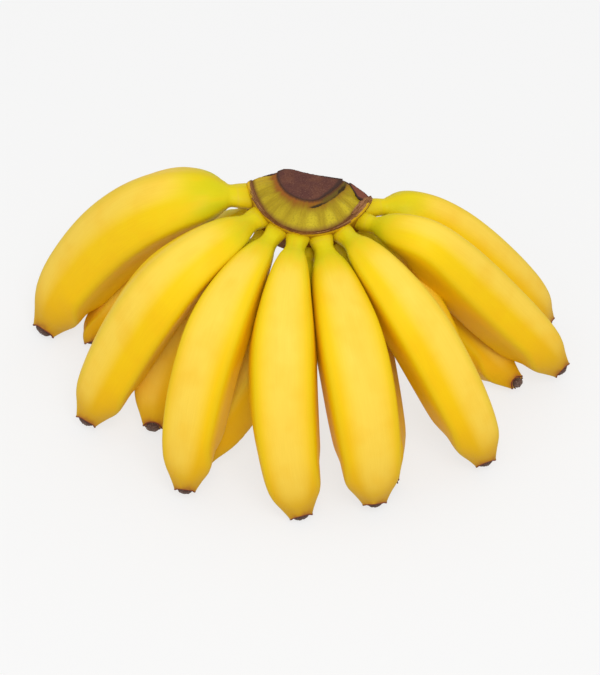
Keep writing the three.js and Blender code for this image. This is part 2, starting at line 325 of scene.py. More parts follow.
def upright_cylinder(tree, around, rows):
    """A closed cylinder, with each point's angle, flat place, distance from the axis and level."""
    mesh = add(tree, "GeometryNodeMeshCylinder", {
        "Vertices": around, "Side Segments": rows, "Radius": 1, "Depth": 1}, fill_type="TRIANGLE_FAN")
    place = add(tree, "ShaderNodeSeparateXYZ", {0: add(tree, "GeometryNodeInputPosition")}).outputs
    angle = add(tree, "ShaderNodeMath", {0: place["Y"], 1: place["X"]}, operation="ARCTAN2")
    flat = add(tree, "ShaderNodeCombineXYZ", {"X": place["X"], "Y": place["Y"]})
    spoke = add(tree, "ShaderNodeVectorMath", {0: flat}, operation="LENGTH").outputs["Value"]
    level = add(tree, "ShaderNodeMath", {0: place["Z"], 1: 0.5}, operation="ADD")
    return mesh, angle, flat, spoke, level


def ridge_at(tree, angle, facing, unevenness):
    """How near a ridge a point is, and the same less its average."""
    crest = add(tree, "GeometryNodeGroup", {
        "Angle": angle, "Facing": facing, "Unevenness": unevenness}, node_tree=ridge_pattern)
    return crest, add(tree, "ShaderNodeMath", {0: crest, 1: CREST_MEAN}, operation="SUBTRACT")


def push(tree, mesh, point, steps):
    """Moves each point of a mesh from this place along some directions, but not below the table."""
    for direction, distance in steps:
        step = add(tree, "ShaderNodeVectorMath", {0: direction, "Scale": distance}, operation="SCALE")
        point = add(tree, "ShaderNodeVectorMath", {0: point, 1: step}, operation="ADD")
    resting = add(tree, "ShaderNodeVectorMath", {0: point, 1: ABOVE_TABLE}, operation="MAXIMUM")
    return add(tree, "GeometryNodeSetPosition", {"Geometry": mesh, "Position": resting})


def finish_tree(tree, mesh, material):
    """Ends a tree: smooth shading but for sharp edges, real geometry, and its material."""
    mesh = add(tree, "GeometryNodeSetShadeSmooth", {"Geometry": mesh, "Shade Smooth": True})
    angle = add(tree, "GeometryNodeInputMeshEdgeAngle").outputs["Unsigned Angle"]
    sharp = add(tree, "ShaderNodeMath", {0: angle, 1: SHARP_EDGE}, operation="GREATER_THAN")
    mesh = add(tree, "GeometryNodeSetShadeSmooth", {
        "Geometry": mesh, "Selection": sharp, "Shade Smooth": False}, domain="EDGE")
    mesh = add(tree, "GeometryNodeRealizeInstances", {"Geometry": mesh})
    mesh = add(tree, "GeometryNodeSetMaterial", {"Geometry": mesh, "Material": material})
    add(tree, "NodeGroupOutput", {"Geometry": mesh})
    return tree


print(f"edges sharper than {math.degrees(SHARP_EDGE):.0f} degrees stay crisp")

# %% [markdown]
# ## Along the fruit
#
# The centre line gives a place and a direction at any share of its length. Sideways is kept level, where a
# frame that only followed the curve could twist, and the facets would twist with it.

# %% Where a point lies along the fruit
def spaced_along(tree, level):
    """How far along a point goes, with the rings crowded at both ends, and its parts below and above 0."""
    wave = add(tree, "ShaderNodeMath", {0: level, 1: math.tau}, operation="MULTIPLY")
    wave = add(tree, "ShaderNodeMath", {0: wave}, operation="SINE")
    spaced = add(tree, "ShaderNodeMath", {
        0: wave, 1: -END_CROWDING / math.tau, 2: level}, operation="MULTIPLY_ADD")
    reach = add(tree, "ShaderNodeMapRange", {
        "Value": spaced, "To Min": -ROOT_REACH, "To Max": 1}, clamp=False)
    behind = add(tree, "ShaderNodeMath", {0: reach, 1: 0}, operation="MINIMUM")
    along = add(tree, "ShaderNodeMath", {0: reach, 1: 0}, operation="MAXIMUM")
    return reach, behind, along


def at_line(tree, sizes, along):
    """The centre line's length, then the place, sideways, up and onward at a share of it."""
    line = add(tree, "GeometryNodeCurvePrimitiveBezierSegment", {
        "Resolution": LINE_STEPS, "Start": sizes["Start"], "Start Handle": sizes["Start Handle"],
        "End Handle": sizes["End Handle"], "End": sizes["End"]})
    length = add(tree, "GeometryNodeCurveLength", {0: line})
    on_line = add(tree, "GeometryNodeSampleCurve", {"Curves": line, "Factor": along}).outputs
    onward = on_line["Tangent"]

    # Sideways is level and square to the line, and up is square to both.
    chord = add(tree, "ShaderNodeVectorMath", {0: sizes["End"], 1: sizes["Start"]}, operation="SUBTRACT")
    sideways = add(tree, "ShaderNodeVectorMath", {0: (0, 0, 1), 1: chord}, operation="CROSS_PRODUCT")
    sideways = add(tree, "ShaderNodeVectorMath", {0: sideways}, operation="NORMALIZE")
    leaning = add(tree, "ShaderNodeVectorMath", {0: sideways, 1: onward}, operation="PROJECT")
    side = add(tree, "ShaderNodeVectorMath", {0: sideways, 1: leaning}, operation="SUBTRACT")
    side = add(tree, "ShaderNodeVectorMath", {0: side}, operation="NORMALIZE")
    up = add(tree, "ShaderNodeVectorMath", {0: onward, 1: side}, operation="CROSS_PRODUCT")
    return length, on_line["Position"], side, up, onward


print(f"{LINE_STEPS} steps on each centre line")

# %% [markdown]
# ## Across the fruit
#
# The thickness is a product of small factors: the outline, the ridges and broad, soft lumps. Some bananas
# swell slowly from the neck and others have a real shoulder, so a gentle and an abrupt outline are mixed.

# %% The peel's ridges and its thickness
def peel_ridges(tree, sizes, angle, along):
    """The ridges at a point. Towards the tip they turn a little, and the widest side grows wider."""
    near_tip = add(tree, "ShaderNodeMapRange", {"Value": along, "From Min": 0.78, "From Max": 0.98},
                   interpolation_type="SMOOTHSTEP")
    facing = add(tree, "ShaderNodeMix", {
        0: near_tip, 2: sizes["Facing"], 3: sizes["Tip Facing"]}, data_type="FLOAT")
    spread = add(tree, "ShaderNodeMath", {
        0: near_tip, 1: TIP_SPREAD, 2: sizes["Unevenness"]}, operation="MULTIPLY_ADD")
    return ridge_at(tree, angle, facing, spread)


def peel_thickness(tree, sizes, along, spoke, raised, peel_space):
    """How far out a point goes, as shares of the half width and of the half depth."""
    strength = add(tree, "ShaderNodeFloatCurve", {"Value": along}, stops=RIDGE_STRENGTH)
    ridges = add(tree, "ShaderNodeMath", {0: raised, 1: strength}, operation="MULTIPLY")
    lumps = add(tree, "ShaderNodeTexNoise", {"Vector": peel_space, "Scale": 1 / LUMP_SIZE, "Detail": 1})
    lumps = add(tree, "ShaderNodeMath", {0: lumps, 1: 0.5}, operation="SUBTRACT")
    lumps = add(tree, "ShaderNodeMath", {0: lumps, 1: LUMP_SHARE, 2: 1}, operation="MULTIPLY_ADD")
    swell = add(tree, "ShaderNodeMath", {0: ridges, 1: RIDGE_SHARE, 2: lumps}, operation="MULTIPLY_ADD")
    gentle = add(tree, "ShaderNodeFloatCurve", {"Value": along}, stops=[row[:2] for row in OUTLINE])
    abrupt = add(tree, "ShaderNodeFloatCurve", {"Value": along}, stops=[row[::2] for row in OUTLINE])
    outline = add(tree, "ShaderNodeMix", {0: sizes["Shoulder"], 2: gentle, 3: abrupt}, data_type="FLOAT")
    thick = add(tree, "ShaderNodeMath", {0: outline, 1: swell}, operation="MULTIPLY")
    thick = add(tree, "ShaderNodeMath", {0: thick, 1: spoke}, operation="MULTIPLY")
    flare = add(tree, "ShaderNodeMapRange", {
        "Value": along, "From Min": 0.015, "From Max": 0.06, "To Min": ROOT_FLARE, "To Max": 0},
        interpolation_type="SMOOTHSTEP")
    flared = add(tree, "ShaderNodeMath", {0: flare, 1: spoke, 2: thick}, operation="MULTIPLY_ADD")
    return flared, thick


print(f"ridges stand up to {RIDGE_SHARE * (1 - CREST_MEAN):.0%} of the thickness above the average")

# %% [markdown]
# ## A fruit from its steps
#
# The tree takes the steps in turn. It also makes the peel's own space, in which the fruit is straight, and
# stores it with the other attributes before any point moves. Patterns laid in that space bend with the
# fruit, where patterns in the room's space would cut across it.

# %% The tree that grows a fruit
def banana_tree():
    """Geometry Nodes that bend, thicken and ridge a cylinder into a banana."""
    tree, enter = new_tree("banana", {
        "Start": "vector", "Start Handle": "vector", "End Handle": "vector", "End": "vector",
        "Half Width": "float", "Half Depth": "float", "Shoulder": "float", "Facing": "float",
        "Tip Facing": "float", "Unevenness": "float", "Seed": "int", "Peel": "material",
    })
    sizes = enter.outputs
    body, angle, _, spoke, level = upright_cylinder(tree, AROUND, ALONG)
    reach, behind, along = spaced_along(tree, level)
    length, middle, side, up, onward = at_line(tree, sizes, along)

    # The peel's own space: the fruit straightened out, in metres, so that patterns run along it.
    cosine = add(tree, "ShaderNodeMath", {0: angle}, operation="COSINE")
    sine = add(tree, "ShaderNodeMath", {0: angle}, operation="SINE")
    half_wide = add(tree, "ShaderNodeMath", {0: cosine, 1: sizes["Half Width"]}, operation="MULTIPLY")
    half_deep = add(tree, "ShaderNodeMath", {0: sine, 1: sizes["Half Depth"]}, operation="MULTIPLY")
    lengthwise = add(tree, "ShaderNodeMath", {0: reach, 1: length}, operation="MULTIPLY")
    straight = add(tree, "ShaderNodeCombineXYZ", {"X": half_wide, "Y": half_deep, "Z": lengthwise})
    apart = add(tree, "ShaderNodeCombineXYZ", {"X": sizes["Seed"]})
    peel_space = add(tree, "ShaderNodeVectorMath", {0: straight, 1: apart}, operation="ADD")

    crest, raised = peel_ridges(tree, sizes, angle, along)
    flared, thick = peel_thickness(tree, sizes, along, spoke, raised, peel_space)
    wide = add(tree, "ShaderNodeMath", {0: half_wide, 1: flared}, operation="MULTIPLY")
    deep = add(tree, "ShaderNodeMath", {0: half_deep, 1: thick}, operation="MULTIPLY")

    # Onward: the root runs back into the crown, and the tip stops short, with its corners standing out.
    at_tip = add(tree, "ShaderNodeMapRange", {"Value": along, "From Min": 0.94, "From Max": 1},
                 interpolation_type="SMOOTHSTEP")
    corner = add(tree, "ShaderNodeMath", {0: raised, 1: at_tip}, operation="MULTIPLY")
    root = add(tree, "ShaderNodeMath", {0: behind, 1: length}, operation="MULTIPLY")
    forward = add(tree, "ShaderNodeMath", {0: corner, 1: RIM_WAVE, 2: root}, operation="MULTIPLY_ADD")
    forward = add(tree, "ShaderNodeMath", {0: along, 1: -TIP_BACK, 2: forward}, operation="MULTIPLY_ADD")

    stored = (("along", along, "FLOAT"), ("crest", crest, "FLOAT"), ("outer", sine, "FLOAT"),
              ("peel_space", peel_space, "FLOAT_VECTOR"))
    for label, value, kind in stored:
        body = add(tree, "GeometryNodeStoreNamedAttribute", {"Geometry": body, "Name": label, "Value": value},
                   data_type=kind, domain="POINT")
    body = push(tree, body, middle, ((side, wide), (up, deep), (onward, forward)))
    return finish_tree(tree, body, sizes["Peel"])


banana = banana_tree()
print(f"the banana tree has {len(banana.nodes)} nodes")

# %% [markdown]
# ## The dry blossom end
#
# The flower withers on the tip of each banana and leaves a dark, shrivelled cap: a thin reddish lip whose
# corners sit on the ridges, a shallow dish, and a rough button in the middle. The same trick makes it: a
# closed cylinder whose height runs through a profile, this time a radius and a height above the rim, with
# noise that grows towards the button.

# %% The dry end's profile
# From the hidden underside, over the lip and down the dish, to the middle of the button: the place on the
# profile, then the radius as a share of the rim's, and the height above the rim in millimetres.
DRY_END_PROFILE = [
    (0, 0.9, -0.7), (0.1, 1.0, -0.5), (0.18, 1.05, -0.15), (0.25, 1.02, 0.15), (0.32, 0.93, 0.2),
    (0.4, 0.86, 0.05), (0.47, 0.8, 0.3), (0.55, 0.74, 0.9), (0.65, 0.64, 1.6), (0.76, 0.5, 2.2),
    (0.88, 0.3, 2.6), (1, 0.02, 2.6),
]
# A curve's values run from 0 to 1, so radii and heights are scaled to fit and scaled back.
PROFILE_WIDEST = 2
PROFILE_LOW, PROFILE_HIGH = -1, 3
LIP_TURNS, LIP_STEPS = 60, 34
SHRIVEL_SIZE, SHRIVEL_DEPTH = 1.3 * MM, 1.5 * MM
SHRIVEL_SPREAD = 5 * MM  # how wide the noise's space is across the rim
print(f"the button stands {DRY_END_PROFILE[-2][2]} mm past the rim")

# %% [markdown]
# The button's crumpled outline shows against the peel, so the noise moves real points. A bump in the finish
# would leave that outline smooth. The noise's space is laid out round the rim and up the profile, and every
# fruit's seed takes it somewhere else.

# %% How a dry end shrivels
def shrivelled(tree, sizes, flat, height, step):
    """The tip's place, moved by noise that is stronger at the button than on the lip."""
    around = add(tree, "ShaderNodeVectorMath", {0: flat, "Scale": SHRIVEL_SPREAD}, operation="SCALE")
    drop = add(tree, "ShaderNodeCombineXYZ", {"X": sizes["Seed"], "Z": height})
    crumpled = add(tree, "ShaderNodeVectorMath", {0: around, 1: drop}, operation="ADD")
    crumple = add(tree, "ShaderNodeTexNoise", {
        "Vector": crumpled, "Scale": 1 / SHRIVEL_SIZE, "Detail": 3, "Roughness": 0.65})
    centred = add(tree, "ShaderNodeVectorMath", {0: crumple.outputs["Color"], 1: (0.5, 0.5, 0.5)},
                  operation="SUBTRACT")
    growing = add(tree, "ShaderNodeMapRange", {
        "Value": step, "From Min": 0.1, "From Max": 0.75, "To Min": 0.25 * SHRIVEL_DEPTH,
        "To Max": SHRIVEL_DEPTH})
    shrivel = add(tree, "ShaderNodeVectorMath", {0: centred, "Scale": growing}, operation="SCALE")
    return add(tree, "ShaderNodeVectorMath", {0: sizes["Tip"], 1: shrivel}, operation="ADD")


print(f"wrinkles are about {SHRIVEL_SIZE / MM:.1f} mm across")

# %% [markdown]
# The tree takes the tip's place and two directions there, so the cap sits square on the fruit's end.

# %% The tree that grows a dry end
def dry_end_tree():
    """Geometry Nodes that turn a cylinder into the lip, dish and button on a banana's tip."""
    tree, enter = new_tree("blossom end", {
        "Tip": "vector", "Axis": "vector", "Side": "vector", "Half Width": "float", "Half Depth": "float",
        "Facing": "float", "Unevenness": "float", "Seed": "int", "Dry Skin": "material",
    })
    sizes = enter.outputs
    cap, angle, flat, spoke, step = upright_cylinder(tree, LIP_TURNS, LIP_STEPS)
    radius = add(tree, "ShaderNodeFloatCurve", {"Value": step},
                 stops=[(p, share / PROFILE_WIDEST) for p, share, _ in DRY_END_PROFILE])
    span = PROFILE_HIGH - PROFILE_LOW
    height = add(tree, "ShaderNodeFloatCurve", {"Value": step},
                 stops=[(p, (h - PROFILE_LOW) / span) for p, _, h in DRY_END_PROFILE])
    height = add(tree, "ShaderNodeMapRange", {
        "Value": height, "To Min": PROFILE_LOW * MM, "To Max": PROFILE_HIGH * MM})

    # The lip follows the fruit's ridges, and its corners stand out as the rim's do.
    _, raised = ridge_at(tree, angle, sizes["Facing"], sizes["Unevenness"])
    ridge = add(tree, "ShaderNodeMath", {0: raised, 1: RIDGE_SHARE, 2: 1}, operation="MULTIPLY_ADD")
    on_lip = add(tree, "ShaderNodeMapRange", {
        "Value": step, "From Min": 0.3, "From Max": 0.6, "To Min": 1, "To Max": 0},
        interpolation_type="SMOOTHSTEP")
    corner = add(tree, "ShaderNodeMath", {0: raised, 1: on_lip}, operation="MULTIPLY")
    forward = add(tree, "ShaderNodeMath", {0: corner, 1: RIM_WAVE, 2: height}, operation="MULTIPLY_ADD")

    out = add(tree, "ShaderNodeMath", {0: radius, 1: ridge}, operation="MULTIPLY")
    out = add(tree, "ShaderNodeMath", {0: out, 1: spoke}, operation="MULTIPLY")
    out = add(tree, "ShaderNodeMath", {0: out, 1: PROFILE_WIDEST}, operation="MULTIPLY")
    distances = []
    for turn, half in (("COSINE", "Half Width"), ("SINE", "Half Depth")):
        part = add(tree, "ShaderNodeMath", {0: angle}, operation=turn)
        part = add(tree, "ShaderNodeMath", {0: part, 1: sizes[half]}, operation="MULTIPLY")
        distances.append(add(tree, "ShaderNodeMath", {0: part, 1: out}, operation="MULTIPLY"))
    up = add(tree, "ShaderNodeVectorMath", {0: sizes["Axis"], 1: sizes["Side"]}, operation="CROSS_PRODUCT")
    cap = add(tree, "GeometryNodeStoreNamedAttribute", {"Geometry": cap, "Name": "step", "Value": step},
              data_type="FLOAT", domain="POINT")
    steps = ((sizes["Side"], distances[0]), (up, distances[1]), (sizes["Axis"], forward))
    cap = push(tree, cap, shrivelled(tree, sizes, flat, height, step), steps)
    return finish_tree(tree, cap, sizes["Dry Skin"])


dry_end = dry_end_tree()
print(f"the blossom end's tree has {len(dry_end.nodes)} nodes")

# %% [markdown]
# ## Finishes
#
# Every finish starts as an empty tree and ends in one surface with a fine bump. In between, colours are
# laid over each other, each where some value is high enough. Three short functions do that.

# %% Three functions for finishes
def bare_material(name):
    """A material of this name, and its empty tree."""
    material = bpy.data.materials.new(name)
    material.use_nodes = True
    material.node_tree.nodes.clear()
    return material, material.node_tree


def shade(tree, value, low, high, under, over, most=1, ease="SMOOTHSTEP"):
    """Lays one colour over another as a value goes from low to high. Most is how much it covers there."""
    share = add(tree, "ShaderNodeMapRange", {
        "Value": value, "From Min": low, "From Max": high, "To Max": most}, interpolation_type=ease)
    over = linear(over) if isinstance(over, str) else over
    under = linear(under) if isinstance(under, str) else under
    return add(tree, "ShaderNodeMix", {0: share, 6: under, 7: over}, data_type="RGBA").outputs[2]


def finish_material(tree, relief, strength, depth, sockets):
    """Ends a finish: a bump of this depth, and the surface that these sockets describe."""
    bump = add(tree, "ShaderNodeBump", {"Height": relief, "Strength": strength, "Distance": depth})
    shader = add(tree, "ShaderNodeBsdfPrincipled", {**sockets, "Normal": bump})
    add(tree, "ShaderNodeOutputMaterial", {"Surface": shader})


print("half way from black to white is", round(linear("#808080")[0], 3), "in linear values")

# %% [markdown]
# ## Banana peel
#
# Ripe peel is a thin, leathery skin under a film of natural wax. It is deep yellow where it is ripest,
# greener round the neck, and ochre at the tip. The wax gives broad, soft highlights, so its roughness is
# middling and its IOR is a wax's. Very fine fibres run along it, about half a millimetre apart. Painting
# would suit one fruit, but fourteen share these rules, so the colour follows the stored attributes.

# %% The peel's colours and sizes
PEEL_ALONG = [
    (0, "#dcc414"), (0.04, "#e4d212"), (0.07, "#e2d212"), (0.1, "#ddce0d"), (0.14, "#e4ce10"),
    (0.18, "#ecd110"), (0.25, "#f6cf0c"), (0.5, "#f8cc06"), (0.75, "#f5c402"), (0.87, "#eeb802"),
    (0.94, "#e4b004"), (0.975, "#d6a008"), (0.99, "#bd8218"), (1, "#8d4c26"),
]
# How much of the outer side's painted highlight shows along the fruit.
PAINTED_HIGHLIGHT_ALONG = [(0, 0), (0.12, 0), (0.26, 1), (0.82, 0.9), (0.95, 0.1), (1, 0)]  # where the paler side shows
PEEL_IOR = 1.44  # wax
PEEL_SHEEN = 0.18  # the wax film is thin and uneven, so it mirrors less than a polished one
PEEL_ROUGHNESS = (0.43, 0.53)  # from the least mottled to the most
MOTTLE_SIZE, GREEN_PATCH = 13 * MM, 12 * MM
FIBRE_SPACING, PORE_SPACING = 0.5 * MM, 0.9 * MM
FIBRE_STRETCH = 0.05  # fibres are twenty times as long as they are wide
PEEL_RELIEF = 0.03 * MM
NECK = (0.105, 0.08)  # where the green neck is, and how far it spreads, as shares of the length
JOINT_LINE = (0.035, 0.005)  # the fine line where stalk and crown meet, in the same way
print(f"fibres {FIBRE_SPACING / MM} mm apart, mottles {MOTTLE_SIZE / MM} mm across")

# %% [markdown]
# A banana ripens last where its stalk becomes the fruit, and never evenly: the green stays in patches, more
# on the flanks than on the outer side, which had the most sun.

# %% Where the peel is still green
def green_neck(tree, place, space, outer):
    """How green the peel is: in patches round the neck, and less on the outer side."""
    from_neck = add(tree, "ShaderNodeMath", {0: place, 1: NECK[0]}, operation="SUBTRACT")
    from_neck = add(tree, "ShaderNodeMath", {0: from_neck}, operation="ABSOLUTE")
    near_neck = add(tree, "ShaderNodeMapRange", {
        "Value": from_neck, "From Max": NECK[1], "To Min": 0.6, "To Max": 0}, interpolation_type="SMOOTHSTEP")
    patches = add(tree, "ShaderNodeTexNoise", {"Vector": space, "Scale": 1 / GREEN_PATCH, "Detail": 1})
    patches = add(tree, "ShaderNodeMapRange", {"Value": patches, "From Min": 0.35, "From Max": 0.75})
    green = add(tree, "ShaderNodeMath", {0: near_neck, 1: patches}, operation="MULTIPLY")
    flank = add(tree, "ShaderNodeMapRange", {"Value": outer, "From Min": 0.4, "To Min": 1, "To Max": 0.4})
    return add(tree, "ShaderNodeMath", {0: green, 1: flank}, operation="MULTIPLY")


print(f"green reaches {NECK[0] + NECK[1]:.1%} of the way along")

# %% [markdown]
# The finish itself is a stack: the colour along the fruit at the bottom, then the outer side's painted
# highlight, the green, the riper patches, the duller ridges and the fibres, each laid thinly over the one
# before.

# %% The peel's finish
def peel_material():
    """Ripe, waxy banana peel: its colour runs with the attribute "along"."""
    material, tree = bare_material("ripe banana peel, waxy")
    along, crest, outer = (
        add(tree, "ShaderNodeAttribute", attribute_name=name).outputs["Fac"]
        for name in ("along", "crest", "outer"))
    space = add(tree, "ShaderNodeAttribute", attribute_name="peel_space").outputs["Vector"]
    mottle = add(tree, "ShaderNodeTexNoise", {"Vector": space, "Scale": 1 / MOTTLE_SIZE, "Detail": 2})
    wander = add(tree, "ShaderNodeMapRange", {"Value": mottle, "To Min": -0.035, "To Max": 0.035})
    place = add(tree, "ShaderNodeMath", {0: along, 1: wander}, operation="ADD")
    colour = add(tree, "ShaderNodeValToRGB", {"Fac": place}, stops=PEEL_ALONG)
    colour.color_ramp.interpolation = "B_SPLINE"

    # A painted highlight lays the outer side paler, and some green lingers round the neck.
    pale = add(tree, "ShaderNodeMapRange", {"Value": outer, "From Min": 0.7, "From Max": 1, "To Max": 0.7},
               interpolation_type="SMOOTHSTEP")
    highlight_along = add(tree, "ShaderNodeFloatCurve", {"Value": along}, stops=PAINTED_HIGHLIGHT_ALONG)
    pale = add(tree, "ShaderNodeMath", {0: pale, 1: highlight_along}, operation="MULTIPLY")
    # Painted highlight: the outer side's crest is laid paler, where a lamp above would shine on the wax.
    colour = shade(tree, pale, 0, 1, colour, "#fcd95c", ease="LINEAR")
    green = green_neck(tree, place, space, outer)
    colour = shade(tree, green, 0, 1, colour, "#b4c20e", ease="LINEAR")

    # Broad patches are a little riper than the rest, ridges a little duller, and fine fibres run along.
    colour = shade(tree, mottle, 0.45, 0.75, colour, "#f4b80c", 0.35, "LINEAR")
    colour = shade(tree, crest, 0.6, 0.92, colour, "#d8c010", 0.35, "LINEAR")
    drawn_out = add(tree, "ShaderNodeVectorMath", {0: space, 1: (1, 1, FIBRE_STRETCH)}, operation="MULTIPLY")
    fibres = add(tree, "ShaderNodeTexNoise", {"Vector": drawn_out, "Scale": 1 / FIBRE_SPACING, "Detail": 2})
    colour = shade(tree, fibres, 0.3, 0.7, colour, "#d9a80a", 0.1, "LINEAR")

    # A fine pinkish line marks where the stalk leaves the crown.
    off_line = add(tree, "ShaderNodeMath", {0: along, 1: JOINT_LINE[0]}, operation="SUBTRACT")
    off_line = add(tree, "ShaderNodeMath", {0: off_line}, operation="ABSOLUTE")
    colour = shade(tree, off_line, JOINT_LINE[1], 0, colour, "#d9a860", 0.12, "LINEAR")

    rough = add(tree, "ShaderNodeMapRange", {
        "Value": mottle, "To Min": PEEL_ROUGHNESS[0], "To Max": PEEL_ROUGHNESS[1]})
    pores = add(tree, "ShaderNodeTexNoise", {"Vector": space, "Scale": 1 / PORE_SPACING, "Detail": 2})
    relief = add(tree, "ShaderNodeMath", {0: fibres, 1: pores}, operation="ADD")
    finish_material(tree, relief, 0.5, PEEL_RELIEF, {
        "Base Color": colour, "Roughness": rough, "IOR": PEEL_IOR, "Specular IOR Level": PEEL_SHEEN})
    return material


peel = peel_material()
print(f"{peel.name}: {len(peel.node_tree.nodes)} nodes")

# %% [markdown]
# ## Dry blossom tissue
#
# The withered flower base is matt, dark brown and slightly grey where it is dustiest, with a redder lip
# where it meets the peel. One colour ramp along the profile gives the bands, and noise gives the dust.

# %% The blossom ends' finish
def dry_end_material():
    """Withered blossom tissue: its colour runs with the attribute "step", from the lip to the button."""
    material, tree = bare_material("withered blossom tissue")
    step = add(tree, "ShaderNodeAttribute", attribute_name="step").outputs["Fac"]
    where = add(tree, "ShaderNodeTexCoord").outputs["Object"]
    colour = add(tree, "ShaderNodeValToRGB", {"Fac": step}, stops=[
        (0, "#a8642a"), (0.16, "#8a4527"), (0.3, "#5c2c1e"), (0.45, "#462c22"), (0.65, "#614a42"),
        (1, "#7a675e")])
    crumbs = add(tree, "ShaderNodeTexNoise", {
        "Vector": where, "Scale": 1 / (0.45 * MM), "Detail": 3, "Roughness": 0.7})
    pale = add(tree, "ShaderNodeMapRange", {"Value": crumbs, "From Min": 0.5, "From Max": 0.7, "To Max": 0.7})
    dusty = add(tree, "ShaderNodeMapRange", {"Value": step, "From Min": 0.3, "From Max": 0.6})
    pale = add(tree, "ShaderNodeMath", {0: pale, 1: dusty}, operation="MULTIPLY")
    colour = shade(tree, pale, 0, 1, colour, "#a08a7e", ease="LINEAR")
    finish_material(tree, crumbs, 0.8, 0.2 * MM, {"Base Color": colour, "Roughness": 0.8, "IOR": 1.4})
    return material


dry_skin = dry_end_material()
print(f"{dry_skin.name}: {len(dry_skin.node_tree.nodes)} nodes")

# %% [markdown]
# ## The fourteen fruits
#
# Now each fruit is grown in its place, stands for its solid and rides on the hand's one body. Its dry end is
# grown with the same facing and unevenness, so the lip's corners meet the fruit's ridges. Both trees are
# run again for every fruit with its own row of numbers, where copies of one fruit would all look alike.

# %% Growing the fruits and their dry ends
def grow_fruit(name, fruit, row, seed):
    """One banana and its dry end, both standing where the solid is."""
    start, start_handle, end_handle, end = centre_line(fruit, row)
    half_width, half_depth = (half * MM for half in fruit["girth"][:2])
    facing, spread, tip_facing = fruit["facet"]
    body = grow(name + "_peel", banana, {
        "Start": start, "Start Handle": start_handle, "End Handle": end_handle, "End": end,
        "Half Width": half_width, "Half Depth": half_depth, "Shoulder": fruit["girth"][2],
        "Facing": math.radians(facing), "Tip Facing": math.radians(tip_facing), "Unevenness": spread,
        "Seed": seed, "Peel": peel})
    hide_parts(name)
    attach(body, "root")

    axis = (end - end_handle).normalized()
    sideways = Vector((0, 0, 1)).cross(end - start).normalized()
    side = (sideways - axis * sideways.dot(axis)).normalized()
    rim_share = OUTLINE[-1][1]
    tip = grow(name + "_blossom_end", dry_end, {
        "Tip": end - axis * TIP_BACK, "Axis": axis, "Side": side, "Half Width": half_width * rim_share,
        "Half Depth": half_depth * rim_share, "Facing": math.radians(tip_facing),
        "Unevenness": spread + TIP_SPREAD, "Seed": seed, "Dry Skin": dry_skin})
    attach(tip, "root")
    return body, tip


grown = [grow_fruit(name, fruit, row, seed) for seed, (name, fruit, row) in enumerate(fruits, 1)]
print(f"{len(grown)} fruits of {len(grown[0][0].data.polygons)} faces, and as many dry ends")

# %% [markdown]
# ## The crown
#
# The crown is the woody cushion that all the stalks grow from. It is half of a low cone: on top is the flat
# cut where it was parted from the stem, round it a ribbed green skin, and along the skin's rim a brown scar
# where a leaf-like bract once sat. It could be sculpted, but every part of it follows an angle round the
# crown's axis, so it is written as rings: how far out and how high a point is, for each angle. All of it is
# laid out level in millimetres first, then leaned and moved to its place.

# %% The crown's outline
# Azimuth in degrees and radius of the top cut's edge.
CUT_EDGE = [
    (-180, 14.2), (-92, 14.2), (-65, 14.5), (-38, 15.2), (-15, 15.3), (1, 15.0), (14, 14.2), (30, 12.4),
    (53, 11.8), (74, 12.5), (84, 13.2), (180, 14.2),
]
# The skin's height from the cut's edge (0) to the rim (1).
SKIN_HEIGHT = [(0, 9.35), (0.05, 9.0), (0.15, 8.75), (0.38, 8.3), (0.72, 7.4), (0.9, 6.6), (1, 6.2)]
RIM_RADIUS = 24.6
# From the rim down the wall to the underside: radius, height, and how much of the bulge reaches there.
WALL = [
    (24.6, 6.2, 1.0), (25.4, 6.6, 0.9), (26.2, 6.1, 0.8), (26.6, 5.2, 0.74), (26.5, 4.2, 0.7),
    (26.1, 3.2, 0.66), (26.0, 0.5, 0.5), (26.0, -2, 0.38), (25.6, -7, 0.13), (24.3, -12, 0),
    (20.5, -15.5, 0), (12, -17.5, 0), (4, -18, 0),
]
BULGE_AZIMUTH, BULGE_REACH, BULGE_DROP = -10, 6.2, 0.6  # the crown bulges out most here
BACK_CUT = [  # the back's line, seen from above
    (-40, -7.5), (-14.7, 0.9), (-11.5, 3.1), (-8, 3.4), (-3, 2.1), (2, 1.2), (8, 0.8), (14, 0.2), (40, -9),
]
# The second cut: a point on it, its slope in degrees, and the azimuth that it slopes down towards.
SIDE_CUT_POINT, SIDE_CUT_SLOPE, SIDE_CUT_TOWARDS = (19, -5.2, 7.9), 28, 117
# Each rib's azimuth and how high it stands, as a share of the highest.
RIBS = [(-84, 0.4), (-71, 0.5), (-53, 0.4), (-31, 0.5), (-14.5, 0.6), (1, 1), (20, 1), (42, 0.8), (58, 0.6)]
RIB_HEIGHT, RIB_WIDTH = 0.7, 6.5  # millimetres and degrees
# The crack where the skin has begun to lift from the cut: azimuth, radius.
CRACK = [(-6, 18.6), (4, 17.7), (16, 16.3), (36, 14.7), (61, 13.9), (70, 14.3), (86, 14.7)]


def between(x, low, high):
    """0 below low, 1 above high, and a smooth step from one to the other."""
    t = np.clip((x - low) / (high - low), 0, 1)
    return t * t * (3 - 2 * t)


def table(x, rows, column=1):
    """Looks a value up in a table of rows, in straight steps."""
    return np.interp(x, [row[0] for row in rows], [row[column] for row in rows])


def bulge(azimuth):
    """How much the crown bulges out at an azimuth: 1 where it does so most, 0 at the back."""
    return np.clip(np.cos(np.radians(azimuth - BULGE_AZIMUTH)), 0, None) ** 4


def rim_radius(azimuth):
    """The skin's outer edge."""
    return RIM_RADIUS + BULGE_REACH * bulge(azimuth)


def at_azimuth(azimuth, radius, height=0):
    """Points at these azimuths, radii and heights, level and in millimetres."""
    turn = np.radians(azimuth)
    return np.stack(np.broadcast_arrays(radius * np.sin(turn), -radius * np.cos(turn), height), -1)


print(f"the rim's radius: {[round(float(rim_radius(a)), 1) for a in (-80, -40, -10, 20, 60)]} mm")

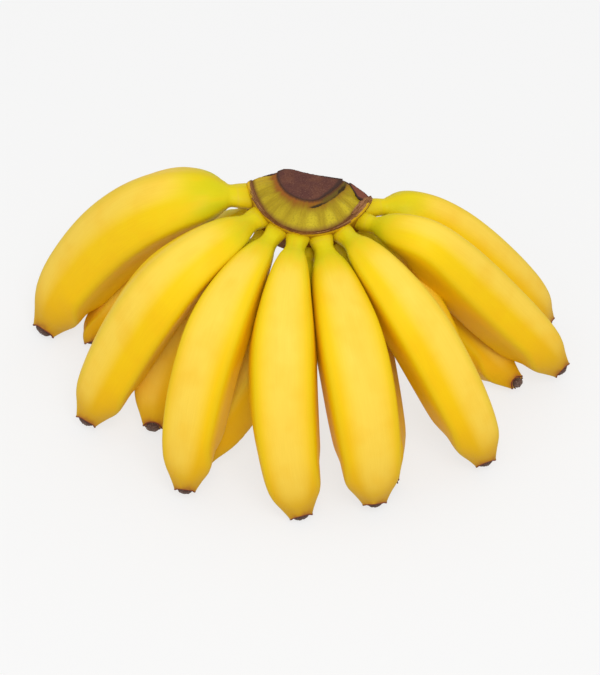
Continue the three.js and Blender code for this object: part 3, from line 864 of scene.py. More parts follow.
# %% [markdown]
# ## From rings to a solid
#
# A list of closed rings, each with the same number of points, becomes a tube by joining every ring to the
# next. A fan closes each end. Noise then roughens it, as dry plant tissue is never quite even. The same
# helpers make the skin, the cuts and the scar.

# %% Rings to a solid, and noise for many points
crown_place = Matrix.Translation(CROWN_PLACE) @ Matrix.Rotation(CROWN_LEAN, 4, "Y") @ Matrix.Scale(MM, 4)


def solid_of_rings(name, rings, material, slot, **attributes):
    """A closed piece of the crown, from rings in level millimetres, with a value for each point of a ring."""
    rings = np.asarray(rings, float)
    count, around = rings.shape[:2]
    mesh_tool = bmesh.new()
    points = [mesh_tool.verts.new(crown_place @ Vector(p)) for p in rings.reshape(-1, 3)]
    for ring in range(count - 1):
        for k in range(around):
            a, b = ring * around + k, ring * around + (k + 1) % around
            mesh_tool.faces.new((points[a], points[b], points[b + around], points[a + around]))
    for ring in (0, count - 1):
        middle = mesh_tool.verts.new(crown_place @ Vector(rings[ring].mean(0)))
        for k in range(around):
            mesh_tool.faces.new((points[ring * around + k], points[ring * around + (k + 1) % around], middle))
    bmesh.ops.recalc_face_normals(mesh_tool, faces=mesh_tool.faces)
    mesh = bpy.data.meshes.new(name)
    mesh_tool.to_mesh(mesh)
    mesh_tool.free()
    for label, values in attributes.items():
        flat = np.asarray(values, float).reshape(count, around)
        flat = np.concatenate([flat.ravel(), [flat[0].mean(), flat[-1].mean()]])
        mesh.attributes.new(label, "FLOAT", "POINT").data.foreach_set("value", flat.astype(np.float32))
    mesh.shade_smooth()
    mesh.materials.append(material)
    piece = bpy.data.objects.new(name, mesh)
    bpy.context.scene.collection.objects.link(piece)
    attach(piece, "root")
    return piece


def roughness_of(points, size, seed=0):
    """Noise from about -1 to 1 at each point, with lumps of this size."""
    points = np.asarray(points, float)
    shift = np.array([seed * 7.3, seed * 3.1, seed * 5.7])
    flat = [noise.noise(Vector(p)) for p in points.reshape(-1, 3) / size + shift]
    return np.array(flat).reshape(points.shape[:-1])


def ring_noise(azimuth, size, seed):
    """Noise that changes with the azimuth alone, with lumps of this many degrees."""
    return roughness_of(np.stack([azimuth, 0 * azimuth, 0 * azimuth], -1), size, seed)


print("noise at one point:", round(float(roughness_of([[1, 2, 3]], 5)[0]), 3))

# %% [markdown]
# ## The crown's finishes
#
# Three kinds of tissue meet here. The skin is living and yellow-green, with a painted highlight on its ribs
# and painted shade in the furrows between them, and browner towards the cut, where it has begun to dry. The
# cuts are dried pith, matt, and dark reddish brown with paler fibre ends. The bract scar is dry and woody, in
# strands
# that run along it. Their patterns follow the crown's rings, so they read the values that each piece carries:
# how far out, which azimuth, how near the crack.

# %% The crown's own space, and the skin's colour on its ribs
STREAKS_ROUND = 70  # in half a turn, so that each is about 0.9 mm wide in mid skin
BROWN_NEAR_CUT = (0.38, 0.72)  # where the brown begins to thin and where it ends, from cut (0) to rim (1)


def crown_space(tree):
    """A point's place in the crown's own level space, in metres, as X, Y and Z."""
    where = add(tree, "ShaderNodeTexCoord").outputs["Object"]
    level = add(tree, "ShaderNodeMapping", {
        "Vector": where, "Location": CROWN_PLACE, "Rotation": (0, CROWN_LEAN, 0)}, vector_type="TEXTURE")
    return add(tree, "ShaderNodeSeparateXYZ", {0: level})


def ribbed_colour(tree, streaks, relief, out, rib, turn):
    """Yellow-green on the ribs with a painted highlight, painted shade in the furrows, and ochre at the far
    left.
    """
    colour = shade(tree, streaks, 0.3, 0.75, "#b1971a", "#9a7f12")
    off_cut = add(tree, "ShaderNodeMapRange", {"Value": out, "From Min": 0.25, "From Max": 0.6})
    rib_highlight = add(tree, "ShaderNodeMath", {0: rib, 1: off_cut}, operation="MULTIPLY")
    # Painted highlight: the ribs are laid lighter.
    colour = shade(tree, rib_highlight, 0.1, 1.0, colour, "#cab424")
    furrow_shade = add(tree, "ShaderNodeMath", {0: streaks, 1: rib_highlight}, operation="SUBTRACT")
    # Painted shade: the furrows between the ribs are laid darker.
    colour = shade(tree, furrow_shade, 0.45, 0.9, colour, "#9a7d14")
    colour = shade(tree, relief, 0.45, 0.85, colour, "#9a8614")
    far_left = add(tree, "ShaderNodeMapRange", {
        "Value": turn, "From Min": -0.34, "From Max": -0.46, "To Max": 0.6})
    return shade(tree, far_left, 0, 1, colour, "#c29f2c")


print(f"{STREAKS_ROUND} streaks to a half turn")

# %% [markdown]
# A cut crown dries from the cut outwards. Brown spreads over the skin, furthest on the left. On the right
# the skin has lifted and stays greener, up to a dark crack. Each colour fades in over a short stretch.

# %% The skin's colour where it dries
def drying_colour(tree, colour, streaks, broad, out, turn, crack):
    """Brown from the cut outwards, green where the skin has lifted, and dark in the crack."""
    from_cut = add(tree, "ShaderNodeMath", {0: streaks, 1: 0.2, 2: out}, operation="MULTIPLY_ADD")
    from_cut = add(tree, "ShaderNodeMath", {0: broad, 1: 0.35, 2: from_cut}, operation="MULTIPLY_ADD")
    colour = shade(tree, from_cut, *BROWN_NEAR_CUT, "#8e6016", colour)
    left = add(tree, "ShaderNodeMapRange", {
        "Value": turn, "From Min": -0.1, "From Max": -0.28, "To Max": 0.12})
    stain = add(tree, "ShaderNodeMath", {0: from_cut, 1: left}, operation="SUBTRACT")
    colour = shade(tree, stain, 0.26, 0.44, "#94571c", colour)
    right = add(tree, "ShaderNodeMapRange", {"Value": turn, "From Min": 0.02, "From Max": 0.14})
    near = add(tree, "ShaderNodeMapRange", {"Value": out, "From Min": 0.3, "From Max": 0.12})
    green = add(tree, "ShaderNodeMath", {0: right, 1: near}, operation="MULTIPLY")
    colour = shade(tree, green, 0.2, 0.9, colour, "#67531a")
    edge = add(tree, "ShaderNodeMath", {0: streaks, 1: 0.08, 2: out}, operation="MULTIPLY_ADD")
    colour = shade(tree, edge, 0.05, 0.13, "#5e3a20", colour)
    return shade(tree, crack, 0.12, 0.6, colour, "#43331a")


print("the brown thins out between", BROWN_NEAR_CUT)

# %% [markdown]
# One finish then joins them. Below the rim the wall is ochre, with painted shade darkening it down between
# the stalks. Its wax is the peel's, so it has the peel's IOR and sheen.

# %% The crown skin's finish
def crown_skin_material():
    """Ripening crown skin, waxy: yellow-green ribs with a painted highlight, browner near the cut, ochre
    below the rim with painted shade lower down.
    """
    material, tree = bare_material("ripening crown skin, waxy")
    out, rib, turn, reach, crack = (
        add(tree, "ShaderNodeAttribute", attribute_name=name).outputs["Fac"]
        for name in ("out", "rib", "azimuth", "reach", "crack"))
    # Streaks run outwards: the noise is drawn out along the radius.
    sweep = add(tree, "ShaderNodeMath", {0: turn, 1: STREAKS_ROUND}, operation="MULTIPLY")
    place = add(tree, "ShaderNodeCombineXYZ", {"X": sweep, "Y": reach})
    streaks = add(tree, "ShaderNodeTexNoise", {"Vector": place, "Scale": 1.0, "Detail": 4, "Roughness": 0.6})
    broad = add(tree, "ShaderNodeTexNoise", {"Vector": place, "Scale": 0.32, "Detail": 2})
    where = add(tree, "ShaderNodeTexCoord").outputs["Object"]
    relief = add(tree, "ShaderNodeTexNoise", {"Vector": where, "Scale": 1 / (0.7 * MM), "Detail": 3})
    colour = ribbed_colour(tree, streaks, relief, out, rib, turn)
    colour = drying_colour(tree, colour, streaks, broad, out, turn, crack)

    # Brown along the rim's inner edge, ochre below the rim, and painted shade that darkens the wall down
    # between the stalks.
    rim = add(tree, "ShaderNodeMath", {0: streaks, 1: 0.1, 2: out}, operation="MULTIPLY_ADD")
    colour = shade(tree, rim, 0.86, 1.06, colour, "#8a6424")
    colour = shade(tree, out, 1.08, 1.16, colour, "#d9ae1a")
    # Painted shade: the wall darkens towards the underside, where the stalks crowd it.
    colour = shade(tree, out, 1.25, 1.6, colour, "#8f5f0a")
    height = add(tree, "ShaderNodeMath", {0: streaks, 1: relief}, operation="ADD")
    rough = add(tree, "ShaderNodeMapRange", {"Value": streaks, "To Min": 0.42, "To Max": 0.62})
    finish_material(tree, height, 0.6, 0.12 * MM, {
        "Base Color": colour, "Roughness": rough, "IOR": PEEL_IOR, "Specular IOR Level": PEEL_SHEEN})
    return material


crown_skin = crown_skin_material()
print(f"{crown_skin.name}: {len(crown_skin.node_tree.nodes)} nodes")

# %% [markdown]
# The cuts come next. Pith dries darkest at its edge, so the finish reads how far out on the cut a point is.

# %% The cuts' finish
def dry_cut_material():
    """Dried pith, matt: dark reddish brown, with paler fibre ends half a millimetre apart."""
    material, tree = bare_material("dried pith, cut across")
    edge = add(tree, "ShaderNodeAttribute", attribute_name="edge").outputs["Fac"]
    where = add(tree, "ShaderNodeTexCoord").outputs["Object"]
    across = crown_space(tree).outputs["X"]
    specks = add(tree, "ShaderNodeTexNoise", {
        "Vector": where, "Scale": 1 / (0.55 * MM), "Detail": 3, "Roughness": 0.7})
    broad = add(tree, "ShaderNodeTexNoise", {"Vector": where, "Scale": 1 / (5 * MM), "Detail": 3})
    colour = shade(tree, broad, 0.35, 0.7, "#5e3a34", "#6d4537")
    colour = shade(tree, specks, 0.52, 0.78, colour, "#8a6453")
    colour = shade(tree, specks, 0.44, 0.26, colour, "#43292a")
    colour = shade(tree, across, 14.5 * MM, 17 * MM, colour, "#834c3c")  # the small cut is redder

    # Darker at the edge, in a wide band on the right.
    right = add(tree, "ShaderNodeMapRange", {
        "Value": across, "From Min": 1 * MM, "From Max": 8 * MM, "To Max": 0.14})
    rim = add(tree, "ShaderNodeMath", {0: specks, 1: 0.12, 2: edge}, operation="MULTIPLY_ADD")
    rim = add(tree, "ShaderNodeMath", {0: rim, 1: right}, operation="ADD")
    colour = shade(tree, rim, 0.94, 1.1, colour, "#47332d")
    finish_material(tree, specks, 0.8, 0.25 * MM, {
        "Base Color": colour, "Roughness": 0.85, "IOR": 1.4, "Specular IOR Level": 0.15})
    return material


dry_cut = dry_cut_material()
print(f"{dry_cut.name}: {len(dry_cut.node_tree.nodes)} nodes")

# %% [markdown]
# The scar's strands would look like one smooth cord if they shared a colour, so each draws its own tone from
# its number.

# %% The bract scar's finish
def scar_material():
    """Dry, woody scar tissue: brown at the front, paler and more fibrous at the right end."""
    material, tree = bare_material("dry bract scar, fibrous")
    where = add(tree, "ShaderNodeTexCoord").outputs["Object"]
    across = crown_space(tree).outputs["X"]
    strand = add(tree, "ShaderNodeAttribute", attribute_name="strand").outputs["Fac"]
    right = add(tree, "ShaderNodeMapRange", {"Value": across, "From Min": 12 * MM, "From Max": 22 * MM})
    left = add(tree, "ShaderNodeMapRange", {"Value": across, "From Min": -14 * MM, "From Max": -24 * MM})
    grain = add(tree, "ShaderNodeTexNoise", {
        "Vector": where, "Scale": 1 / (0.6 * MM), "Detail": 3, "Roughness": 0.65})
    broad = add(tree, "ShaderNodeTexNoise", {"Vector": where, "Scale": 1 / (3 * MM), "Detail": 2})
    colour = shade(tree, broad, 0.35, 0.7, "#734619", "#85551f")
    colour = shade(tree, left, 0, 1, colour, "#8f6138")
    colour = shade(tree, right, 0, 1, colour, "#a3714a")
    colour = shade(tree, grain, 0.55, 0.8, colour, "#b8875c")
    colour = shade(tree, grain, 0.45, 0.25, colour, "#5a3420")

    # Every strand has its own tone; the band beneath them has none and stays as it is.
    tone = add(tree, "ShaderNodeTexWhiteNoise", {"W": strand}, noise_dimensions="1D").outputs["Value"]
    on_strand = add(tree, "ShaderNodeMath", {0: strand, 1: 0.5}, operation="GREATER_THAN")
    tone = add(tree, "ShaderNodeMath", {0: tone, 1: on_strand}, operation="MULTIPLY")
    colour = shade(tree, tone, 0.35, 0.6, colour, "#6b4222")
    colour = shade(tree, tone, 0.7, 0.95, colour, "#b98b62")
    finish_material(tree, grain, 0.8, 0.2 * MM, {
        "Base Color": colour, "Roughness": 0.75, "IOR": 1.4, "Specular IOR Level": 0.2})
    return material


scar_tissue = scar_material()
print(f"{scar_tissue.name}: {len(scar_tissue.node_tree.nodes)} nodes")

# %% [markdown]
# ## The crown's skin
#
# The skin starts under the top cut, runs out over its ribs to the rim, and goes on down the wall, so the
# body of the crown is closed. All its rings follow the azimuth by the same few tables, and a number in a
# table is easier to correct than a sculpted lump.

# %% The skin's rings
SKIN_ROWS, COLUMNS = 44, 480
UNDER_CUT_SHARES, UNDER_CUT_HEIGHT = (0.3, 0.8, 0.99), 8.7  # rings hidden under the top cut's plate
WALL_STEPS = 5  # rings between two points of the wall
azimuth = np.arange(COLUMNS) * 360 / COLUMNS - 180
cut_edge = table(azimuth, CUT_EDGE)
swell = bulge(azimuth)
rib = sum(h * np.exp(-(((azimuth - a) / RIB_WIDTH) ** 2)) for a, h in RIBS)


def skin_rings():
    """Rings from the middle of the top down to the underside, and how far out each point is.

    That is 0 at the cut's edge, 1 at the rim and 2 at the last point of the wall.
    """
    rings, outs = [], []
    for share in UNDER_CUT_SHARES:
        rings.append((cut_edge * share, UNDER_CUT_HEIGHT))
        outs.append(-0.2)
    for t in np.linspace(0, 1, SKIN_ROWS):
        radius = cut_edge + t * (rim_radius(azimuth) - cut_edge)
        height = table(t, SKIN_HEIGHT) - BULGE_DROP * swell * t
        height = height + RIB_HEIGHT * rib * between(t, 0.2, 0.62) * (1 - between(t, 0.9, 1.02))
        rings.append((radius, height))
        outs.append(t)
    last = len(WALL) - 1
    for step in np.linspace(0, last, WALL_STEPS * last + 1)[1:]:
        radius, height, reach = (np.interp(step, range(last + 1), column) for column in zip(*WALL))
        rings.append((radius + BULGE_REACH * swell * reach, height - BULGE_DROP * swell * reach))
        outs.append(1 + step / last)
    points = np.array([at_azimuth(azimuth, radius, height) for radius, height in rings])
    return points, np.repeat(outs, COLUMNS).reshape(-1, COLUMNS)


def back_line(x):
    """How far back the crown reaches at each place across it."""
    return table(x, BACK_CUT)


def side_cut_height(x, y):
    """The height of the slanting second cut over a place."""
    down = np.radians(SIDE_CUT_TOWARDS)
    along = (x - SIDE_CUT_POINT[0]) * np.sin(down) - (y - SIDE_CUT_POINT[1]) * np.cos(down)
    return SIDE_CUT_POINT[2] - along * math.tan(math.radians(SIDE_CUT_SLOPE))


points, out = skin_rings()
print(f"{len(points)} rings of {COLUMNS} points")

# %% [markdown]
# Streaks, lumps and the crack are moved points, because they catch the light and show at the edge. Each is
# faded out under the cut and past the rim, so the plates and the wall keep their places.

# %% The skin's relief and its crack
STREAK_RELIEF, LUMP_RELIEF, PORE_RELIEF = 0.16, 0.22, 0.05  # millimetres
CRACK_DEPTH, LIFTED_HEIGHT = 0.75, 0.35
# A degree round and a millimetre out, in the noise's space: the noise is drawn out along the radius.
STREAK_SPACE = (0.38, 0.12)

radius = np.hypot(points[..., 0], points[..., 1])
on_skin = between(out, 0.02, 0.12) * (1 - between(out, 1.0, 1.2))

# Streaks: ridges that run outwards, finer than the ribs, and soft lumps.
streak_place = np.stack([azimuth * STREAK_SPACE[0] + 0 * radius, radius * STREAK_SPACE[1], 0 * radius], -1)
streaks = roughness_of(streak_place, 0.55, 1) + 0.6 * roughness_of(streak_place, 0.27, 2)
points[..., 2] += on_skin * (STREAK_RELIEF * streaks + LUMP_RELIEF * roughness_of(points, 4.5, 3))
points[..., 2] += PORE_RELIEF * roughness_of(points, 0.9, 4) * on_skin

# The crack wanders, opens and closes in patches, and the skin outside it is lifted a little.
from_crack = radius - table(azimuth, CRACK) - 0.35 * ring_noise(azimuth, size=5, seed=5)
opening = between(azimuth, -9, 8) * (1 - between(azimuth, 84, 90))
patchy = 0.4 + 0.6 * between(ring_noise(azimuth, size=17, seed=6), -0.3, 0.3)
in_crack = opening * patchy * np.exp(-((from_crack / (0.15 + 0.65 * patchy)) ** 2)) * (out < 1)
points[..., 2] -= CRACK_DEPTH * in_crack
lifted = opening * between(from_crack, 0, 0.6) * (1 - between(from_crack, 0.8, 3)) * (out < 1)
points[..., 2] += LIFTED_HEIGHT * lifted
print(f"the crack is up to {CRACK_DEPTH * in_crack.max():.2f} mm deep")

# %% [markdown]
# Last, the body is held below the slanting second cut and in front of the crown's back. The plates of those
# cuts go on it later. Its rings carry five values for the finish: how far out a point is, the crack, the
# ribs, the azimuth and the radius.

# %% The skin as a closed body
SHORT_OF_SIDE_CUT, SHORT_OF_BACK_CUT = 0.35, 0.5  # millimetres
TOP_END = 1.6  # only points less far out than this are held below the second cut

below_cut = side_cut_height(points[..., 0], points[..., 1]) - SHORT_OF_SIDE_CUT
points[..., 2] = np.where(out < TOP_END, np.minimum(points[..., 2], below_cut), points[..., 2])
points[..., 1] = np.minimum(points[..., 1], back_line(points[..., 0]) - SHORT_OF_BACK_CUT)
skin = solid_of_rings("crown_skin_body", points, crown_skin, "crown_skin", out=out, crack=in_crack,
                      rib=np.broadcast_to(rib, out.shape), azimuth=np.broadcast_to(azimuth / 180, out.shape),
                      reach=radius / 10)
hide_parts("crown")
print(f"the skin has {len(skin.data.polygons)} faces")

# %% [markdown]
# ## Dry cuts
#
# A fresh cut through the crown is pale, and within days its tissue dries to a dark, reddish brown. The cut
# is flat but rough, with the ends of countless fibres standing in it. There are three: the round one on
# top, a small slanting one near the right end, and the tall one down the back. Each is a thin closed plate
# on the skin's body, so that it has its own finish and a real edge.

# %% One plate for any cut
TOP_HEIGHT = 9.62
SIDE_CUT_RISE = 0.12  # how far the slanting plate's face stands over its cut
# How high and how wide the relief on a cut is: fine fibres, coarse ones and broad waves.
FINE_FIBRES, COARSE_FIBRES, WAVES = (0.16, 0.62), (0.1, 1.5), (0.22, 5.5)
EDGE_DROP = 0.25  # the face rounds down by this much at its edge


def cut_plate(name, outline, centre, height_at, thickness, seed, upright=False, rows=26):
    """A rough, thin plate that fills an outline: its face from the middle out, its edge, its underside."""
    across, away, up = np.eye(3)[[0, 2, 1] if upright else [0, 1, 2]]
    shares = np.linspace(0.03, 1, rows) ** 0.8
    flats = [centre + (outline - centre) * share for share in (*shares, 1.0, 0.97, 0.3)]
    level = np.array([height_at(*flat.T) for flat in flats])
    rings = np.array([flat[:, :1] * across + flat[:, 1:] * away for flat in flats])
    face = rings[:rows]
    fine, coarse, waves = (
        high * roughness_of(face, wide, seed + i)
        for i, (high, wide) in enumerate((FINE_FIBRES, COARSE_FIBRES, WAVES)))
    rounding = -EDGE_DROP * between(shares, 0.93, 1)[:, None]
    level[:rows] += fine + coarse + waves * (1 - between(shares, 0.85, 1))[:, None] + rounding
    level[rows:] -= thickness
    rim = np.ones(level.shape)
    rim[:rows] = shares[:, None]
    return solid_of_rings(name, rings + level[..., None] * up, dry_cut, "crown_cut", edge=rim)


# The top cut: the front follows the cut's edge, and the back follows the back's line.
turn = np.arange(240) * 1.5 - 180
edge = at_azimuth(turn, table(turn, CUT_EDGE) + 0.12 * ring_noise(turn, size=4, seed=9))[:, :2]
edge[:, 1] = np.minimum(edge[:, 1], back_line(edge[:, 0]))
top_cut = cut_plate("crown_top_cut", edge, np.array([0.5, -5.5]), lambda x, y: TOP_HEIGHT + 0 * x,
                    thickness=1.2, seed=10)
print(f"the top cut is {np.ptp(edge[:, 0]):.1f} mm wide")

# %% [markdown]
# The other two cuts have outlines of their own. A line drawn straight from corner to corner would look
# whittled, so each outline is rounded by a spline that still passes through its corners.

# %% The slanting cut and the upright one
SIDE_CUT_OUTLINE = [
    (16.2, -0.9), (17.0, 0.3), (20.5, -1.2), (23.2, -2.4), (24.9, -4.4), (24.9, -6.8), (24.0, -8.7),
    (21.6, -9.5), (19.9, -9.4), (18.9, -7.7), (17.9, -5.4), (16.9, -3.0),
]
# The back cut's outline is the crown's silhouette from behind: how far across and how high.
LEFT_SIDE = [
    (-10, -17.3), (-20, -15.4), (-24, -12), (-25.4, -7), (-25.9, -2), (-26, 3.4), (-25, 5.8), (-20, 7.9),
    (-14.5, 8.9), (-5, 9),
]
RIGHT_SIDE = [
    (5, 9), (12.5, 8.9), (19, 7.2), (24, 4.2), (25.8, 3.0), (25.9, -2), (25.4, -7), (24, -12), (20, -15.4),
    (10, -17.3),
]


def smooth_loop(corners, count):
    """A closed line through some corners, rounded a little."""
    corners = np.array(corners, float)
    ahead = np.linspace(0, len(corners), count, endpoint=False)
    whole = ahead.astype(int)
    part = (ahead - whole)[:, None]
    a, b, c, d = (corners[(whole + k) % len(corners)] for k in (-1, 0, 1, 2))
    return 0.5 * (2 * b + (c - a) * part + (2 * a - 5 * b + 4 * c - d) * part**2
                  + (3 * b - a - 3 * c + d) * part**3)


side_edge = smooth_loop(SIDE_CUT_OUTLINE, 120)
side_cut = cut_plate("crown_side_cut", side_edge, side_edge.mean(0),
                     lambda x, y: side_cut_height(x, y) + SIDE_CUT_RISE, thickness=1.1, seed=20, rows=18)
back_edge = smooth_loop(LEFT_SIDE + RIGHT_SIDE, 220)
back_cut = cut_plate("crown_back_cut", back_edge, np.array([0.0, -3.0]), lambda x, z: back_line(x),
                     thickness=1.2, seed=30, upright=True, rows=34)
print("cuts:", [piece.name for piece in (top_cut, side_cut, back_cut)])

# %% [markdown]
# ## The bract scar
#
# Where the bract tore away, a raised brown line of dry tissue runs along the rim. It is thin at the front
# and frays into a wide, pale, woody band at the right end. The band is one closed strip along the rim, made
# of rings like the skin. Over it, Geometry Nodes lay strands, as nobody would place dozens of them by hand.

# %% The scar's band
# At each azimuth: how far the band reaches in from the rim and out from it, and how thick it is.
SCAR = [
    (-84, 0.2, 0.9, 0.1), (-77, 0.4, 1.6, 0.3), (-70, 0.4, 1.9, 0.4), (-45, 0.3, 1.8, 0.4),
    (-15, 0.1, 1.5, 0.35), (8, 0.1, 1.5, 0.35), (28, 0.2, 1.6, 0.4), (40, 0.8, 1.8, 0.45),
    (52, 1.9, 2.0, 0.5), (62, 2.2, 2.0, 0.5), (72, 1.3, 2.1, 0.45), (84, -0.6, 2.5, 0.3),
]
SCAR_TURNS = np.arange(-84, 84.1, 0.6)
# The body just past the rim: how far past, and how high there.
RIM_EDGE = [(0, 6.2), (0.7, 6.5), (1.3, 6.0), (1.9, 5.0), (2.3, 3.6)]
# The band's section: the share of its width, and how high, where 1 is its thickness.
BAND_SECTION = [
    (0.0, -0.5), (0.02, 0.0), (0.16, 0.75), (0.32, 1.0), (0.5, 1.05), (0.68, 1.0), (0.84, 0.8), (0.98, 0.1),
    (1.0, -0.5), (0.75, -1.2), (0.25, -1.2),
]


def body_height(azimuths, radii):
    """The height of the crown's body at places on its rim."""
    inside = (radii - table(azimuths, CUT_EDGE)) / (rim_radius(azimuths) - table(azimuths, CUT_EDGE))
    skin_height = table(np.clip(inside, 0, 1), SKIN_HEIGHT)
    over = radii - rim_radius(azimuths)
    height = np.where(over > 0, table(over, RIM_EDGE), skin_height) - BULGE_DROP * bulge(azimuths)
    x, y, _ = at_azimuth(azimuths, radii).T
    return np.minimum(height, side_cut_height(x, y) - 0.3 - 0.5 * between(azimuths, 68, 84))


def scar_line(share, rise=0):
    """A line along the band, from its inner edge (0) to its outer edge (1), some thicknesses up."""
    inner = rim_radius(SCAR_TURNS) - table(SCAR_TURNS, SCAR, 1)
    outer = rim_radius(SCAR_TURNS) + table(SCAR_TURNS, SCAR, 2) * (1 - 0.35 * bulge(SCAR_TURNS))
    radii = inner + (outer - inner) * share
    height = body_height(SCAR_TURNS, radii) + rise * table(SCAR_TURNS, SCAR, 3)
    return at_azimuth(SCAR_TURNS, radii, height)


band = np.stack([scar_line(share, rise) for share, rise in BAND_SECTION], 1)
band += 0.12 * roughness_of(band, 0.8, 40)[..., None] + 0.1 * roughness_of(band, 2.2, 41)[..., None]
scar = solid_of_rings("bract_scar_band", band, scar_tissue, "bract_scar")
print(f"the band has {len(scar.data.polygons)} faces")

# %% [markdown]
# Torn fibres lie side by side but never quite parallel. Each strand keeps its own place across the band and
# wanders a little as it goes. A random value node draws from sockets 2 to 3, with the strand's number in
# socket 7 and a seed in socket 8, so the same strand always gets the same value.

# %% Where each strand lies on the band
ARCH_DROP, STRAND_SWAY, STRAND_WANDER = 3.6 * MM, 1.2 * MM, 5 * MM


def strand_offset(tree, sizes, number):
    """How far a point of a strand is moved off the band's middle line."""
    share = add(tree, "FunctionNodeRandomValue", {7: number, 8: sizes["Seed"]}, data_type="FLOAT").outputs[1]
    across, upward = (
        add(tree, "GeometryNodeInputNamedAttribute", {"Name": name}, data_type="FLOAT_VECTOR").outputs[0]
        for name in ("across", "upward"))
    apart = add(tree, "ShaderNodeCombineXYZ", {"X": number})
    place = add(tree, "GeometryNodeInputPosition")
    where = add(tree, "ShaderNodeVectorMath", {0: place, 1: apart}, operation="ADD")
    wander = add(tree, "ShaderNodeTexNoise", {"Vector": where, "Scale": 1 / STRAND_WANDER, "Detail": 2})
    sway = add(tree, "ShaderNodeMath", {0: wander, 1: 0.5}, operation="SUBTRACT")
    sideways = add(tree, "ShaderNodeMath", {0: sway, 1: 0.5, 2: share}, operation="MULTIPLY_ADD")
    sideways = add(tree, "ShaderNodeMath", {0: sideways, 1: 0.5}, operation="SUBTRACT")
    aside = add(tree, "ShaderNodeVectorMath", {0: across, "Scale": sideways}, operation="SCALE")

    # The band is arched, so strands near its edges lie lower.
    arch = add(tree, "ShaderNodeMath", {0: sideways, 1: sideways}, operation="MULTIPLY")
    arch = add(tree, "ShaderNodeMath", {0: arch, 1: -ARCH_DROP, 2: sizes["Lift"]}, operation="MULTIPLY_ADD")
    height = add(tree, "ShaderNodeMath", {0: sway, 1: STRAND_SWAY, 2: arch}, operation="MULTIPLY_ADD")
    raised = add(tree, "ShaderNodeVectorMath", {0: upward, "Scale": height}, operation="SCALE")
    return add(tree, "ShaderNodeVectorMath", {0: aside, 1: raised}, operation="ADD")


print(f"strands at the band's edges lie {ARCH_DROP / 4 / MM:.1f} mm lower than in its middle")

# %% [markdown]
# The tree copies the line once for each strand, moves each copy, trims it to a piece with a random start,
# and sweeps a small ring along it. A hair system would do as well, but these are few and thick, and they
# have to be plain meshes in the end.

# %% The tree that lays fibres along a line
def fibre_tree():
    """Geometry Nodes that copy a line into many strands, spread them by noise and give them thickness."""
    tree, enter = new_tree("dry fibres", {
        "Line": "geometry", "Strands": "int", "Thickness": "float", "Lift": "float", "Shortest": "float",
        "Seed": "int", "Fibre": "material",
    })
    sizes = enter.outputs
    line = add(tree, "GeometryNodeMeshToCurve", {0: sizes["Line"]})
    copies = add(tree, "GeometryNodeDuplicateElements", {
        "Geometry": line, "Amount": sizes["Strands"]}, domain="SPLINE")
    strands = add(tree, "GeometryNodeStoreNamedAttribute", {
        "Geometry": copies, "Name": "strand", "Value": copies.outputs["Duplicate Index"]},
        data_type="INT", domain="CURVE")
    number = add(tree, "GeometryNodeInputNamedAttribute", {"Name": "strand"}, data_type="INT").outputs[0]
    strands = add(tree, "GeometryNodeSetPosition", {
        "Geometry": strands, "Offset": strand_offset(tree, sizes, number)})

    # Each is a piece of the line, from a random start.
    drawn = ((-0.3, 0.85, 11), (sizes["Shortest"], 0.6, 12), (0.55, 1.3, 13))
    start, reach, stout = (
        add(tree, "FunctionNodeRandomValue", {2: least, 3: most, 7: number, 8: seed},
            data_type="FLOAT").outputs[1] for least, most, seed in drawn)
    end = add(tree, "ShaderNodeMath", {0: start, 1: reach}, operation="ADD", use_clamp=True)
    start = add(tree, "ShaderNodeMath", {0: start, 1: 0}, operation="ADD", use_clamp=True)
    strands = add(tree, "GeometryNodeTrimCurve", {0: strands, 2: start, 3: end}, mode="FACTOR")

    # Thick in the middle and thin at both ends.
    along = add(tree, "GeometryNodeSplineParameter").outputs["Factor"]
    taper = add(tree, "ShaderNodeFloatCurve", {"Value": along}, stops=[
        (0, 0.25), (0.15, 0.9), (0.85, 0.9), (1, 0.2)])
    thick = add(tree, "ShaderNodeMath", {0: taper, 1: stout}, operation="MULTIPLY")
    ring = add(tree, "GeometryNodeCurvePrimitiveCircle", {"Resolution": 5, "Radius": sizes["Thickness"]})
    tubes = add(tree, "GeometryNodeCurveToMesh", {
        "Curve": strands, "Profile Curve": ring, "Scale": thick, "Fill Caps": True})
    return finish_tree(tree, tubes, sizes["Fibre"])


fibres = fibre_tree()
print(f"the fibres' tree has {len(fibres.nodes)} nodes")

# %% [markdown]
# Two bundles are laid: fine fibres along the front of the rim, and coarser ones where the scar frays. The
# path carries the way across the band and the way up, so the tree needs to know nothing about the crown.

# %% Laying the fibres
def lay_fibres(name, first, last, strands, thickness, lift, shortest, seed):
    """Strands on the scar's band between two azimuths. Shortest is a share of that stretch."""
    chosen = (SCAR_TURNS >= first) & (SCAR_TURNS <= last)
    middle, inner, outer = (scar_line(share)[chosen] for share in (0.5, 0.08, 0.92))
    path = bpy.data.meshes.new(name + "_path")
    points = [crown_place @ Vector(p) for p in middle]
    path.from_pydata(points, [(i, i + 1) for i in range(len(points) - 1)], [])
    turn_only = crown_place.to_3x3()
    for label, vectors in (("across", outer - inner), ("upward", np.tile((0, 0, 1 / MM), (len(points), 1)))):
        turned = np.array([turn_only @ Vector(v) for v in vectors], np.float32)
        path.attributes.new(label, "FLOAT_VECTOR", "POINT").data.foreach_set("vector", turned.ravel())
    piece = grow(name, fibres, {
        "Strands": strands, "Thickness": thickness * MM, "Lift": lift * MM, "Shortest": shortest,
        "Seed": seed, "Fibre": scar_tissue}, path)
    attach(piece, "root")
    return piece


rim_fibres = lay_fibres("bract_scar_rim_fibres", -84, 50, strands=40, thickness=0.13, lift=0.62,
                        shortest=0.15, seed=3)
frayed_fibres = lay_fibres("bract_scar_frayed_fibres", 42, 84, strands=64, thickness=0.17, lift=0.95,
                           shortest=0.3, seed=4)
print("faces of fibres:", len(rim_fibres.data.polygons), len(frayed_fibres.data.polygons))

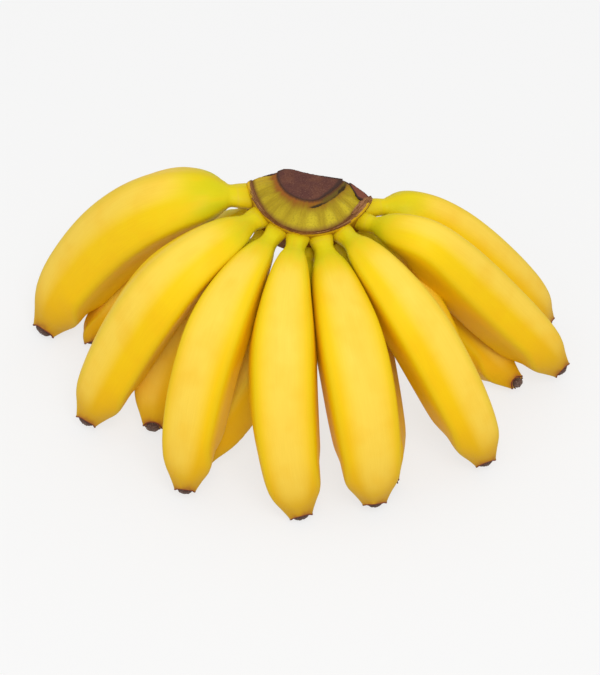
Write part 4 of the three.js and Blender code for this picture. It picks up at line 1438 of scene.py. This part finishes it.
# %% [markdown]
# ## Floor and light
#
# The hand stands on a plain, pale table that glows a little, as a light table does, so that shadows on it
# stay faint. It shows brighter than it lights, so the undersides of the fruits keep their depth. A soft lamp
# above and in front makes the broad highlights on the wax, a weaker and larger one fills from the left, and
# an even white surround does the rest.

# %% The floor
FLOOR_SIZE, FLOOR_COLOUR = 12.0, "#808080"
FLOOR_DROP = 0.1 * MM  # just below the hand, so that the tips don't flicker with it
GLOW_SEEN, GLOW_GIVEN = 0.71, 0.45  # how bright the table shows, and how bright it lights the fruits

floor_material, floor_tree = bare_material("matt white table")
seen = add(floor_tree, "ShaderNodeLightPath").outputs["Is Camera Ray"]
glow = add(floor_tree, "ShaderNodeMapRange", {"Value": seen, "To Min": GLOW_GIVEN, "To Max": GLOW_SEEN})
floor_shader = add(floor_tree, "ShaderNodeBsdfPrincipled", {
    "Base Color": linear(FLOOR_COLOUR), "Roughness": 1, "Specular IOR Level": 0,
    "Emission Color": (1, 1, 1, 1), "Emission Strength": glow})
add(floor_tree, "ShaderNodeOutputMaterial", {"Surface": floor_shader})
bpy.ops.mesh.primitive_plane_add(size=FLOOR_SIZE, location=(0, 0, -FLOOR_DROP))
floor = bpy.context.object
floor.name = "floor"
floor.data.materials.append(floor_material)
print(f"a floor {FLOOR_SIZE} m across")

# %% [markdown]
# Area lamps are used because their size sets how soft a shadow and a highlight are. The key lamp is large
# for its distance, so the wax shows broad, soft highlights and no hard spots.

# %% The lights and the surround
SURROUND_STRENGTH = 0.75


def soft_lamp(name, azimuth, pitch, distance, size, power):
    """A square lamp that faces the hand."""
    lamp = bpy.data.lights.new(name, "AREA")
    lamp.shape = "SQUARE"
    lamp.size = size
    lamp.energy = power
    holder = bpy.data.objects.new(name, lamp)
    direction = pointing(azimuth, pitch)
    holder.location = CAMERA_TARGET + direction * distance
    holder.rotation_euler = (-direction).to_track_quat("-Z", "Y").to_euler()
    bpy.context.scene.collection.objects.link(holder)


soft_lamp("key lamp", azimuth=12, pitch=58, distance=1.3, size=0.6, power=6)
soft_lamp("fill lamp", azimuth=-40, pitch=32, distance=1.6, size=1.2, power=1.8)

world = bpy.data.worlds.new("white surround")
bpy.context.scene.world = world
world.use_nodes = True
world.node_tree.nodes.clear()
surround = add(world.node_tree, "ShaderNodeBackground", {
    "Color": (1, 1, 1, 1), "Strength": SURROUND_STRENGTH})
add(world.node_tree, "ShaderNodeOutputWorld", {"Surface": surround})
bpy.context.scene.view_settings.view_transform = "Standard"
print("two lamps and a surround of strength", SURROUND_STRENGTH)
